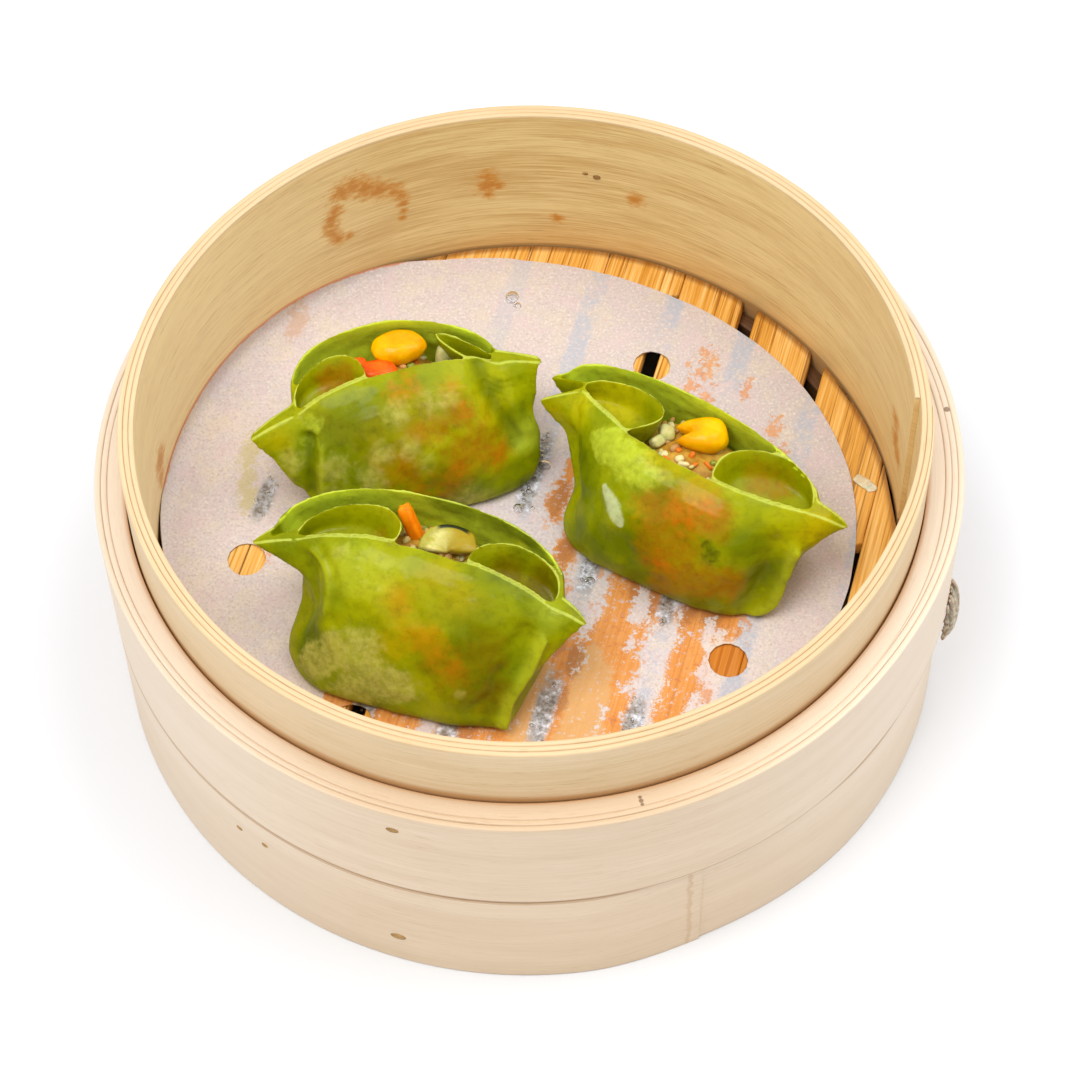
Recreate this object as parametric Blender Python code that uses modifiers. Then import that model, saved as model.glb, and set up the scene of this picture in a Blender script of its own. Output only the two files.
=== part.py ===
"""Bamboo steamer basket with a perforated paper liner and three folded green dumplings.

Sizes are in millimetres and become metres through MM. The origin is the centre of the
basket's foot, +Z is up, and the front of the basket faces -Y. Angles round the basket are
in degrees from +X, counter-clockwise seen from above.
"""
import math

import bmesh
import bpy
from mathutils import Matrix, Vector

MM = 0.001
GAP = 0.3            # clearance between neighbouring pieces
SEGMENTS = 48        # facets in one turn of every hoop

# Basket hoops: the foot is a 180 mm steamer, the tall inner hoop carries the food.
OUTER_RADIUS = 90.0
BAND_STRIP = 1.2          # thickness of one layer of the two outer bands
BAND_LAYERS = 2
SEAM_HEIGHT = 31.7        # joint between the lower and the upper band
LEDGE_HEIGHT = 61.0       # top of the upper band
LEDGE_RADIUS = 83.6       # inner radius of the spacer ring behind the bands
LEDGE_DROP = 0.5          # the spacer ring ends a little under the bands
INNER_RADIUS = 79.95
INNER_STRIP = 1.02
INNER_LAYERS = 3
INNER_BOTTOM = 17.0       # the foot below it takes the rim of the basket underneath
RIM_HEIGHT = 77.7
INNER_START = 0.0         # where each strip begins, on its inside
UPPER_START = -10.0
UPPER_OVERLAP = 165.0     # the upper band laps over its own start, round the rear
LOWER_START = -37.5
LAYER_SLIT = 0.12         # open slit between two layers of one strip
BEND_ANGLE = 30.0         # stretch over which a strip steps out onto its own start
REST_RING_WIDTH = 3.4     # the ring under the slats
FLOOR_TOP = 34.0          # top of the slats

# Slats of the floor: they run SLAT_TURN off the Y axis, towards +X at the back.
SLAT_TURN = 16.3
SLAT_PITCH = 18.2
SLAT_WIDTH = 13.8
SLAT_THICKNESS = 3.5
SLAT_EDGE = 0.8
SLAT_COUNT = 9
FIRST_SLAT = -66.0        # middle of the first slat across the floor
LAST_SLAT_SKEW = -2.0     # the slat along the wall lies slightly askew
LAST_SLAT_WIDTH = 9.0
BATTEN_WIDTH = 11.0
BATTEN_THICKNESS = 4.0
BATTEN_OFFSET = 41.0      # the two battens lie this far from the middle

# Paper liner
LINER_THICKNESS = 0.4
LINER_CENTRE = (-4.0, 0.4)
LINER_RADIUS = 75.2
LINER_OVAL = 1.8          # the disc is a little longer along OVAL_ANGLE
LINER_OVAL_ANGLE = 60.0
LINER_SPOKES = 60
LINER_WALL_GAP = 0.4
HOLE_COUNT = 8
HOLE_RADIUS = 4.2
HOLE_RING_CENTRE = (-4.3, -2.4)
HOLE_RING_RADIUS = 56.3
FIRST_HOLE = -35.6

# Bamboo nails through the bands and the rattan lacing that ties the bands
NAILS = {                 # angle, height, width along the band, height of the head
    "upper": (-107.7, 55.0, 3.0, 1.6),
    "lower": (-108.4, 10.0, 3.6, 2.2),
    "side_a": (-132.4, 23.2, 1.8, 1.2),
    "side_b": (-127.9, 23.9, 1.8, 1.2),
}
NAIL_PROUD = 0.5
LACING_ANGLE = -12.8
LACING_BOTTOM = 17.5
LACING_TOP = 41.0
LACING_STRANDS = 3
LACING_PITCH = 2.2        # distance between strands round the band
LACING_WIDTH = 1.7
LACING_PROUD = 2.0
LACING_FAN = 0.1          # degrees by which the outer strands spread from bottom to top

# Dumplings: a round wrapper folded to a boat with two pinched ears. The wrapper's edge runs
# along the front wall to an ear, back inside it, round an open pocket and along the rear
# wall. Every point is in the dumpling's own frame: x along its length, y to its rear.
WRAPPER = 1.3             # thickness of the wrapper
WRAPPER_LIFT = WRAPPER / 2 + GAP
WALL_STEPS = 14           # steps along each long wall, in an ear, a flap and a pocket
EAR_STEPS = 4
FLAP_STEPS = 6
POCKET_STEPS = 12
FLOOR_RINGS = (0.35, 0.7) # rings of the flat base, as shares of its size
WRAPPER_ROWS = 10
COARSE_VOXEL = 0.62
SMOOTH_STEPS = 4
WRAPPER_TRIANGLES = 1850

FOLD = dict(
    corner=45.0,              # where the four lower corners lie round the base
    base_power=4.0,           # squareness of the base
    base=(23.0, 13.5),        # half length and half depth of the flat base
    base_shift=(0.0, -2.0),
    flare=5.0,                # how far the belly swells past the base
    front_power=2.5,
    rear_power=2.6,
    rear_skew=0.0,
    ear_arch=0.3,
    pocket_rise=0.5,
    ear_open_left=0.0,        # opening between the two sheets of an ear
    ear_open_right=0.0,
    lean_front=(0.0, -15.0, -5.0),
    lean_root=(-2.0, -9.0, -8.0),
    lean_landing=(5.0, -1.0, -13.0),
    lean_pocket=(3.0, -5.0, -13.0),
    lean_rear=(0.0, 3.0, -11.0),
    lean_tip_left=(-10.0, -3.0, -4.0),
    lean_tip_right=(-9.0, -3.0, -5.0),
)
DUMPLINGS = {
    "front": dict(
        FOLD, centre=(-22.7, -29.3), turn=-17.6,
        base=(22.8, 14.5), base_shift=(-0.7, -2.5), lean_tip_left=(-13.0, 0.0, -2.0),
        tip_left=(-36.4, 0.0, 22.0), tip_right=(36.4, 0.0, 22.0),
        root_left=(-27.0, 3.6, 24.5), root_right=(28.5, 2.5, 24.0),
        rear_left=(-32.5, 1.8, 23.5), rear_right=(30.0, 1.6, 24.0),
        front_in=2.5, front_up=5.0, rear_out=14.0, rear_up=4.0,
        landing_left=-5.6, landing_right=9.4,
        pocket_left=(8.4, 2.0, 0.9), pocket_right=(7.5, 1.2, 0.9)),
    "back": dict(
        FOLD, centre=(-27.1, 18.8), turn=15.8,
        base=(23.5, 13.0), base_shift=(3.5, -2.5),
        lean_tip_left=(-7.0, -3.0, -6.0), lean_tip_right=(-4.0, -7.0, -8.0),
        tip_left=(-33.0, 0.0, 20.0), tip_right=(33.0, 0.0, 22.0),
        root_left=(-21.5, 2.6, 23.5), root_right=(21.5, 2.6, 25.0),
        rear_left=(-22.0, 2.0, 23.0), rear_right=(23.0, 1.8, 25.0),
        front_in=1.5, front_up=4.5, rear_out=11.0, rear_up=3.5,
        landing_left=-5.7, landing_right=17.0,
        pocket_left=(8.2, 0.8, 0.9), pocket_right=(7.0, -5.0, 1.0)),
    "right": dict(
        FOLD, centre=(35.1, 0.8), turn=-28.4,
        base=(22.5, 13.5), base_shift=(0.5, -5.5),
        lean_tip_left=(-11.0, -4.0, -6.0), lean_tip_right=(-10.0, -3.0, -3.0),
        tip_left=(-36.4, 2.5, 22.0), tip_right=(36.4, 0.0, 20.0), ear_open_left=6.0,
        root_left=(-27.5, 4.8, 26.0), root_right=(27.5, -1.2, 24.0),
        rear_left=(-34.0, 5.4, 23.0), rear_right=(29.0, -0.5, 24.0),
        front_in=-6.0, front_up=2.5, rear_out=7.0, rear_up=4.0, rear_skew=-0.15,
        landing_left=-13.5, landing_right=6.8,
        pocket_left=(5.5, 9.5, 0.8), pocket_right=(9.2, -2.8, 0.85)),
}

# Filling: a core that fills the wrapper, and the pieces that show on top of it.
CORE_INSET = WRAPPER / 2 + GAP + 0.15
CORE_STATIONS = (2, 4, 7, 10, 12) # steps along the long walls where the core has a section
CORE_LEVELS = (0.12, 0.45, 0.77)  # how far up the sheet its three levels lie
CORE_DROP = 0.42                  # how much lower its ends are, under the pockets
CORE_DOME = 0.9                   # rise of the top's middle above its edges
CORE_END = 6.0                    # the rounded ends reach past the last sections
MORSELS = {               # dumpling, kind, middle, half size, turn, taper towards +X, notch at -X
    "back_corn": ("back", "corn", (4.2, 10.4, 23.8), (6.0, 3.5, 3.1), 2.0, 0.2, 0.0),
    "back_carrot": ("back", "carrot", (-3.4, 6.8, 21.7), (5.2, 2.1, 1.7), -18.0, 0.1, 0.0),
    "back_onion": ("back", "onion", (12.6, 6.8, 20.4), (2.2, 2.2, 1.8), 0.0, 0.0, 0.0),
    "right_corn": ("right", "corn", (-0.2, 5.2, 23.0), (5.8, 4.2, 2.9), 24.0, -0.2, 0.5),
    "right_onion": ("right", "onion", (-7.4, 3.0, 20.8), (2.2, 2.2, 1.4), 30.0, 0.0, 0.0),
}
STICK = dict(middle=(-5.2, 11.6, 23.4), size=(3.2, 3.4, 8.5), tilt=(38.0, 22.0, 15.0))
SLICE = dict(middle=(4.2, 8.4, 22.9), radius=6.2, thickness=2.4, tilt=(-16.0, 4.0, 16.0))

COLOURS = {
    "bamboo": (0.78, 0.60, 0.36), "bamboo_band": (0.80, 0.63, 0.42), "slat": (0.60, 0.26, 0.06),
    "liner": (0.80, 0.68, 0.60), "nail": (0.45, 0.27, 0.11), "rattan": (0.52, 0.42, 0.30),
    "wrapper": (0.30, 0.36, 0.02), "filling": (0.58, 0.42, 0.22), "corn": (0.85, 0.56, 0.02),
    "carrot": (0.85, 0.19, 0.01), "courgette": (0.62, 0.58, 0.28), "onion": (0.66, 0.66, 0.42),
}


def clear_scene():
    for obj in list(bpy.data.objects):
        bpy.data.objects.remove(obj, do_unlink=True)


def make_material(name, roughness=0.6):
    material = bpy.data.materials.new(name)
    material.use_nodes = True
    shader = material.node_tree.nodes["Principled BSDF"]
    shader.inputs["Base Color"].default_value = (*COLOURS[name], 1.0)
    shader.inputs["Roughness"].default_value = roughness
    shader.inputs["Metallic"].default_value = 0.0
    return material


def mesh_object(name, bm, collection, material=None):
    """Turn a bmesh in millimetres into a named object in metres."""
    bmesh.ops.scale(bm, vec=(MM, MM, MM), verts=bm.verts)
    mesh = bpy.data.meshes.new(name)
    bm.to_mesh(mesh)
    bm.free()
    obj = bpy.data.objects.new(name, mesh)
    collection.objects.link(obj)
    if material:
        mesh.materials.append(material)
    return obj


def add_boolean(obj, cutter, operation):
    cut = obj.modifiers.new("cut", "BOOLEAN")
    cut.operation = operation
    cut.solver = "EXACT"
    cut.object = cutter


def add_solidify(obj, thickness, offset=0.0):
    solid = obj.modifiers.new("thickness", "SOLIDIFY")
    solid.thickness = thickness * MM
    solid.offset = offset
    solid.use_even_offset = True


def polar(radius, degrees, z=0.0):
    angle = math.radians(degrees)
    return Vector((radius * math.cos(angle), radius * math.sin(angle), z))


def smooth_step(t):
    t = min(max(t, 0.0), 1.0)
    return t * t * (3.0 - 2.0 * t)


def wound_hoop(name, radius, strip, layers, bottom, top, start, overlap, collection, material):
    """A strip wound in layers: round in each turn, with one S-bend where it steps outwards.

    Its outer end lies past its start by the overlap, or short of it if that is negative.
    """
    step = strip + LAYER_SLIT
    facet = 360.0 / SEGMENTS
    count = SEGMENTS * layers + round(overlap / facet)
    bm = bmesh.new()
    rings = []
    for index in range(count + 1):
        turn, part = divmod(index, SEGMENTS)
        bend = smooth_step((part * facet - (360.0 - BEND_ANGLE)) / BEND_ANGLE)
        point = polar(radius + strip / 2 + (turn + bend) * step, start + index * facet)
        rings.append([bm.verts.new((point.x, point.y, height)) for height in (bottom, top)])
    for first, second in zip(rings, rings[1:]):
        bm.faces.new((first[0], second[0], second[1], first[1]))
    hoop = mesh_object(name, bm, collection, material)
    add_solidify(hoop, strip)
    return hoop


def closed_ring(name, radius, width, bottom, top, collection, material):
    """A plain ring: a rectangle turned round the axis, down its outer side first."""
    bm = bmesh.new()
    corners = [(radius + width, top), (radius + width, bottom), (radius, bottom), (radius, top)]
    verts = [bm.verts.new((x, 0.0, z)) for x, z in corners]
    for first, second in zip(verts, verts[1:] + verts[:1]):
        bm.edges.new((first, second))
    ring = mesh_object(name, bm, collection, material)
    screw = ring.modifiers.new("turn", "SCREW")
    screw.steps = SEGMENTS
    screw.render_steps = SEGMENTS
    screw.use_merge_vertices = True
    screw.merge_threshold = 0.0001
    return ring


def build_basket(collection, cutters):
    bamboo = make_material("bamboo", 0.55)
    band = make_material("bamboo_band", 0.5)
    wound_hoop("inner_hoop", INNER_RADIUS, INNER_STRIP, INNER_LAYERS, INNER_BOTTOM, RIM_HEIGHT,
               INNER_START, -BEND_ANGLE, collection, bamboo)
    band_width = BAND_LAYERS * BAND_STRIP + (BAND_LAYERS - 1) * LAYER_SLIT
    band_radius = OUTER_RADIUS - band_width
    wound_hoop("band_upper", band_radius, BAND_STRIP, BAND_LAYERS, SEAM_HEIGHT + GAP / 2,
               LEDGE_HEIGHT, UPPER_START, UPPER_OVERLAP, collection, band)
    wound_hoop("band_lower", band_radius, BAND_STRIP, BAND_LAYERS, 0.0,
               SEAM_HEIGHT - GAP / 2, LOWER_START, -BEND_ANGLE, collection, band)
    ledge_width = band_radius - GAP - LEDGE_RADIUS
    closed_ring("ledge_ring", LEDGE_RADIUS, ledge_width, INNER_BOTTOM, LEDGE_HEIGHT - LEDGE_DROP,
                collection, band)
    rest_outer = INNER_RADIUS - GAP
    rest_top = FLOOR_TOP - SLAT_THICKNESS - GAP
    closed_ring("rest_ring", rest_outer - REST_RING_WIDTH, REST_RING_WIDTH, INNER_BOTTOM, rest_top,
                collection, bamboo)
    build_floor(collection, cutters, rest_outer, rest_outer - REST_RING_WIDTH - GAP)


def round_cutter(name, radius, collection):
    bm = bmesh.new()
    bmesh.ops.create_cone(bm, cap_ends=True, segments=2 * SEGMENTS, radius1=radius,
                          radius2=radius, depth=4 * RIM_HEIGHT)
    cutter = mesh_object(name, bm, collection)
    cutter.hide_render = True
    cutter.display_type = "WIRE"
    return cutter


def board(name, length, width, thickness, edge, middle, turn, collection, material):
    bm = bmesh.new()
    bmesh.ops.create_cube(bm, size=1.0)
    bmesh.ops.scale(bm, vec=(width, length, thickness), verts=bm.verts)
    obj = mesh_object(name, bm, collection, material)
    obj.location = middle * MM
    obj.rotation_euler = (0.0, 0.0, math.radians(turn))
    bevel = obj.modifiers.new("edge", "BEVEL")
    bevel.width = edge * MM
    bevel.segments = 1
    return obj


def build_floor(collection, cutters, slat_reach, batten_reach):
    material = make_material("slat", 0.6)
    across = polar(1.0, -SLAT_TURN)
    along = polar(1.0, 90.0 - SLAT_TURN)
    slat_cutter = round_cutter("cut_slats", slat_reach, cutters)
    batten_cutter = round_cutter("cut_battens", batten_reach, cutters)
    height = FLOOR_TOP - SLAT_THICKNESS / 2
    for index in range(SLAT_COUNT):
        last = index == SLAT_COUNT - 1
        width = LAST_SLAT_WIDTH if last else SLAT_WIDTH
        offset = FIRST_SLAT + index * SLAT_PITCH - (SLAT_WIDTH - width) / 2
        middle = across * offset + Vector((0.0, 0.0, height))
        turn = -SLAT_TURN + (LAST_SLAT_SKEW if last else 0.0)
        slat = board(f"slat_{index + 1}", 2 * OUTER_RADIUS, width, SLAT_THICKNESS, SLAT_EDGE,
                     middle, turn, collection, material)
        add_boolean(slat, slat_cutter, "INTERSECT")
    height = FLOOR_TOP - SLAT_THICKNESS - GAP - BATTEN_THICKNESS / 2
    for name, side in (("front", -1), ("back", 1)):
        middle = along * side * BATTEN_OFFSET + Vector((0.0, 0.0, height))
        batten = board(f"batten_{name}", 2 * OUTER_RADIUS, BATTEN_WIDTH, BATTEN_THICKNESS,
                       SLAT_EDGE, middle, 90.0 - SLAT_TURN, collection, material)
        add_boolean(batten, batten_cutter, "INTERSECT")


def liner_edge(degrees):
    """The liner's outer edge: a slightly oval disc that stops short of the wall."""
    swell = LINER_OVAL * math.cos(math.radians(2 * (degrees - LINER_OVAL_ANGLE)))
    point = polar(LINER_RADIUS + swell, degrees)
    point.x += LINER_CENTRE[0]
    point.y += LINER_CENTRE[1]
    limit = INNER_RADIUS - LINER_WALL_GAP
    if point.length > limit:
        point *= limit / point.length
    return point


def build_liner(collection, cutters):
    height = FLOOR_TOP + GAP + LINER_THICKNESS / 2
    bm = bmesh.new()
    edge = [liner_edge(spoke * 360.0 / LINER_SPOKES) for spoke in range(LINER_SPOKES)]
    verts = [bm.verts.new((point.x, point.y, height)) for point in edge]
    bm.faces.new(verts)
    liner = mesh_object("liner", bm, collection, make_material("liner", 0.8))
    add_solidify(liner, LINER_THICKNESS)
    bm = bmesh.new()
    for hole in range(HOLE_COUNT):
        place = polar(HOLE_RING_RADIUS, FIRST_HOLE + hole * 360.0 / HOLE_COUNT)
        place += Vector((*HOLE_RING_CENTRE, height))
        bmesh.ops.create_cone(bm, cap_ends=True, segments=14, radius1=HOLE_RADIUS,
                              radius2=HOLE_RADIUS, depth=10 * LINER_THICKNESS,
                              matrix=Matrix.Translation(place))
    holes = mesh_object("cut_holes", bm, cutters)
    holes.hide_render = True
    holes.display_type = "WIRE"
    add_boolean(liner, holes, "DIFFERENCE")


def build_nails(collection):
    material = make_material("nail", 0.7)
    for name, (angle, height, width, tall) in NAILS.items():
        bm = bmesh.new()
        bmesh.ops.create_uvsphere(bm, u_segments=10, v_segments=6, radius=1.0)
        bmesh.ops.scale(bm, vec=(NAIL_PROUD, width / 2, tall / 2), verts=bm.verts)
        nail = mesh_object(f"nail_{name}", bm, collection, material)
        nail.location = polar(OUTER_RADIUS + NAIL_PROUD + 0.1, angle, height) * MM
        nail.rotation_euler = (0.0, 0.0, math.radians(angle))


def build_lacing(collection):
    """Flat rattan strands over the joint of the two bands, one arched curve each."""
    material = make_material("rattan", 0.8)
    middle = (LACING_BOTTOM + LACING_TOP) / 2
    half = (LACING_TOP - LACING_BOTTOM) / 2
    lap = OUTER_RADIUS + LAYER_SLIT + BAND_STRIP
    points = 7
    for strand in range(LACING_STRANDS):
        side = strand - (LACING_STRANDS - 1) / 2
        angle = LACING_ANGLE + math.degrees(side * LACING_PITCH / OUTER_RADIUS)
        reach = half * (1.0 - 0.12 * abs(side))
        curve = bpy.data.curves.new(f"lacing_{strand + 1}", "CURVE")
        curve.dimensions = "3D"
        curve.bevel_depth = LACING_WIDTH / 2 * MM
        curve.bevel_resolution = 1
        curve.use_fill_caps = True
        spline = curve.splines.new("POLY")
        spline.points.add(points - 1)
        for index in range(points):
            t = -1.0 + 2.0 * index / (points - 1)
            out = lap + GAP + LACING_WIDTH / 2 + (LACING_PROUD - LACING_WIDTH) * (1.0 - t * t)
            place = polar(out, angle + LACING_FAN * side * t, middle + reach * t) * MM
            spline.points[index].co = (*place, 1.0)
        obj = bpy.data.objects.new(f"lacing_{strand + 1}", curve)
        curve.materials.append(material)
        collection.objects.link(obj)


def mix(first, second, t):
    return first + (second - first) * t


def fold_columns(fold):
    """Walk once round the wrapper's edge, counter-clockwise seen from above.

    Each column gives the angle of its foot on the base, its point on the edge, and the
    handle that says how the sheet comes up to the edge.
    """
    corner = math.radians(fold["corner"])
    roots = {1: Vector(fold["root_right"]), -1: Vector(fold["root_left"])}
    rears = {1: Vector(fold["rear_right"]), -1: Vector(fold["rear_left"])}
    tips = {1: Vector(fold["tip_right"]), -1: Vector(fold["tip_left"])}

    def depth(amount):
        return Vector((0.0, amount * WRAPPER, 0.0))

    def lean(name, x_scale=1.0, y_scale=1.0):
        x, y, z = fold["lean_" + name]
        return Vector((x * x_scale, y * y_scale, z))

    def front(t):
        rise = 1.0 - abs(t) ** fold["front_power"]
        return mix(roots[-1], roots[1], (t + 1) / 2) + depth(-1.5) + Vector(
            (0.0, fold["front_in"] * rise, fold["front_up"] * rise))

    def front_at(x):
        return front(2 * (x - roots[-1].x) / (roots[1].x - roots[-1].x) - 1)

    def rear(t):
        skewed = abs(t - fold["rear_skew"] * (1 - t * t))
        bow = math.sqrt(max(0.0, 1 - skewed ** fold["rear_power"]))
        return mix(rears[-1], rears[1], (t + 1) / 2) + depth(1.5) + Vector(
            (0.0, fold["rear_out"] * bow, fold["rear_up"] * (1 - t * t)))

    def ear(side):
        """Front sheet out to the tip, pocket back and round, rear sheet out and back."""
        name = "right" if side > 0 else "left"
        root, rear_root, tip = roots[side], rears[side], tips[side]
        spread = Vector((0.0, fold["ear_open_" + name] / 2, 0.0))
        tall, skew, fullness = fold["pocket_" + name]
        landing = front_at(fold["landing_" + name]) + depth(1.05)
        lean_in, lean_tip = lean("landing", side), lean("tip_" + name, side)
        lean_shut = lean("landing", 0.3 * side)
        found = []

        def run(start, end, steps, angles, leans):
            for index in range(1, steps + 1):
                t = index / steps
                arch = Vector((0.0, 0.0, fold["ear_arch"] * math.sin(math.pi * t)))
                found.append((mix(*angles, t), mix(start, end, t) + arch, mix(*leans, t)))

        run(root + depth(-1.5), tip + depth(-0.45) - spread, EAR_STEPS,
            (-1.25 * corner, -corner), (lean("root", side), lean_tip))
        run(tip + depth(-0.15) - spread, root + depth(-0.5), EAR_STEPS,
            (-corner, -0.75 * corner), (lean_tip, lean_shut))
        for index in range(1, FLAP_STEPS + 1):
            t = index / FLAP_STEPS
            point = front_at(mix(root.x, fold["landing_" + name], t)) + depth(1.05)
            found.append((-corner * mix(0.75, 0.3, t), point, mix(lean_shut, lean_in, t)))
        for index in range(1, POCKET_STEPS + 1):
            t = index / POCKET_STEPS
            swell = math.sin(math.pi * t)
            point = mix(landing, root + depth(0.5), (1 - math.cos(math.pi * t)) / 2)
            point += Vector((skew * swell, tall * swell ** fullness, fold["pocket_rise"] * swell))
            tilt = mix(mix(lean_in, lean_shut, t), lean("pocket", side), swell)
            found.append((corner * mix(-0.3, 0.75, t), point, tilt))
        run(root + depth(0.5), tip + depth(0.15) + spread, EAR_STEPS,
            (0.75 * corner, corner), (lean_shut, lean("tip_" + name, side, -1)))
        run(tip + depth(0.45) + spread, rear_root + depth(1.5), EAR_STEPS,
            (corner, 1.25 * corner), (lean("tip_" + name, side, -1), lean("rear", side)))
        return found

    columns = []
    for index in range(WALL_STEPS + 1):
        t = -1 + 2 * index / WALL_STEPS
        angle = mix(1.25 * corner - math.pi, -1.25 * corner, (t + 1) / 2)
        columns.append((angle, front(t), mix(lean("root", t), lean("front"), 1 - abs(t) ** 3)))
    columns += ear(1)
    for index in range(1, WALL_STEPS + 1):
        t = 1 - 2 * index / WALL_STEPS
        angle = mix(math.pi - 1.25 * corner, 1.25 * corner, (t + 1) / 2)
        columns.append((angle, rear(t), lean("rear", t)))
    columns += [(math.pi - angle, point, tilt) for angle, point, tilt in reversed(ear(-1)[:-1])]
    return columns


def base_point(fold, angle):
    """A point of the squarish flat base."""
    c, s = math.cos(angle), math.sin(angle)
    power = fold["base_power"]
    size = (abs(c) ** power + abs(s) ** power) ** (-1.0 / power)
    return Vector((fold["base"][0] * size * c, fold["base"][1] * size * s, 0.0))


def dumpling_matrix(fold):
    height = FLOOR_TOP + GAP + LINER_THICKNESS + WRAPPER_LIFT
    turn = Matrix.Rotation(math.radians(fold["turn"]), 4, "Z")
    return Matrix.Translation((*fold["centre"], height)) @ turn


def sheet_point(fold, column, v):
    """A point of the folded sheet, from its foot on the base at 0 to its edge at 1."""
    angle, edge, tilt = column
    foot = base_point(fold, angle) + Vector((*fold["base_shift"], 0.0))
    out = Vector((math.cos(angle), math.sin(angle), 0.25)) * fold["flare"]
    return (foot * (1 - v) ** 3 + (foot + out) * (3 * v * (1 - v) ** 2)
            + (edge + tilt) * (3 * v * v * (1 - v)) + edge * v ** 3)


def wrapper_sheet(fold):
    """The folded sheet, from the middle of its base up to its edge."""
    shift = Vector((*fold["base_shift"], 0.0))
    columns = fold_columns(fold)
    rings = []
    for scale in FLOOR_RINGS:
        rings.append([base_point(fold, angle) * scale + shift for angle, _, _ in columns])
    for row in range(WRAPPER_ROWS + 1):
        v = row / WRAPPER_ROWS
        rings.append([sheet_point(fold, column, v) for column in columns])
    return shift, rings


def build_wrapper(name, fold, collection, material):
    middle, rings = wrapper_sheet(fold)
    place = dumpling_matrix(fold)
    bm = bmesh.new()
    centre = bm.verts.new(place @ middle)
    rows = [[bm.verts.new(place @ point) for point in ring] for ring in rings]
    count = len(rows[0])
    for index in range(count):
        following = (index + 1) % count
        bm.faces.new((centre, rows[0][following], rows[0][index]))
        for lower, upper in zip(rows, rows[1:]):
            bm.faces.new((lower[index], lower[following], upper[following], upper[index]))
    wrapper = mesh_object(f"dumpling_{name}_wrapper", bm, collection, material)
    add_solidify(wrapper, WRAPPER)
    wrapper.modifiers["thickness"].use_even_offset = False
    remesh = wrapper.modifiers.new("fuse_layers", "REMESH")
    remesh.mode = "VOXEL"
    remesh.voxel_size = COARSE_VOXEL * MM
    smooth = wrapper.modifiers.new("smooth", "SMOOTH")
    smooth.iterations = SMOOTH_STEPS
    smooth.factor = 0.5
    return wrapper


def lighten(obj, triangles):
    """Collapse an object's mesh to about a number of triangles."""
    graph = bpy.context.evaluated_depsgraph_get()
    mesh = bpy.data.meshes.new_from_object(obj.evaluated_get(graph))
    present = sum(len(polygon.vertices) - 2 for polygon in mesh.polygons)
    bpy.data.meshes.remove(mesh)
    decimate = obj.modifiers.new("lighten", "DECIMATE")
    decimate.ratio = triangles / present
    decimate.use_collapse_triangulate = True


def build_core(name, fold, collection, material):
    """The filling as one lump: a cage that follows the two long walls, subdivided."""
    columns = fold_columns(fold)
    far_side = 2 * WALL_STEPS + 4 * EAR_STEPS + FLAP_STEPS + POCKET_STEPS
    bm = bmesh.new()
    sections = []
    for station in CORE_STATIONS:
        spread = abs(2 * station / WALL_STEPS - 1)
        drop = 1 - CORE_DROP * (spread / abs(2 * CORE_STATIONS[0] / WALL_STEPS - 1)) ** 2
        sides = []
        for level in CORE_LEVELS:
            near = sheet_point(fold, columns[station], level * drop)
            far = sheet_point(fold, columns[far_side - station], level * drop)
            inward = (far - near).normalized() * CORE_INSET
            sides.append((near + inward, (near + far) / 2, far - inward))
        sides[0] = [Vector((p.x, p.y, CORE_INSET)) for p in sides[0]]
        top = sides[2][1] + Vector((0.0, 0.0, CORE_DOME * drop))
        ring = [sides[0][0], sides[1][0], sides[2][0], top,
                sides[2][2], sides[1][2], sides[0][2], sides[0][1]]
        sections.append(([bm.verts.new(point) for point in ring], sides[1][1]))
    for (first, _), (second, _) in zip(sections, sections[1:]):
        for index in range(8):
            following = (index + 1) % 8
            bm.faces.new((first[index], first[following], second[following], second[index]))
    for (ring, middle), side in ((sections[0], -1), (sections[-1], 1)):
        cap = bm.verts.new(middle + Vector((side * CORE_END, 0.0, 0.0)))
        for index in (7, 1, 3, 5):
            corner = [ring[(index + turn) % 8] for turn in range(3)]
            bm.faces.new((cap, *corner) if side > 0 else (cap, *reversed(corner)))
    bmesh.ops.recalc_face_normals(bm, faces=bm.faces)
    core = mesh_object(f"dumpling_{name}_filling", bm, collection, material)
    put_in_dumpling(core, name, Vector(), (0.0, 0.0, 0.0))
    subdivision = core.modifiers.new("soften", "SUBSURF")
    subdivision.levels = 1
    subdivision.render_levels = 1


def put_in_dumpling(obj, name, middle, tilt):
    place = dumpling_matrix(DUMPLINGS[name]) @ Matrix.Translation(middle)
    place.translation *= MM
    turn = [Matrix.Rotation(math.radians(angle), 4, axis) for angle, axis in zip(tilt, "XYZ")]
    obj.matrix_world = place @ turn[2] @ turn[1] @ turn[0]


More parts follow.
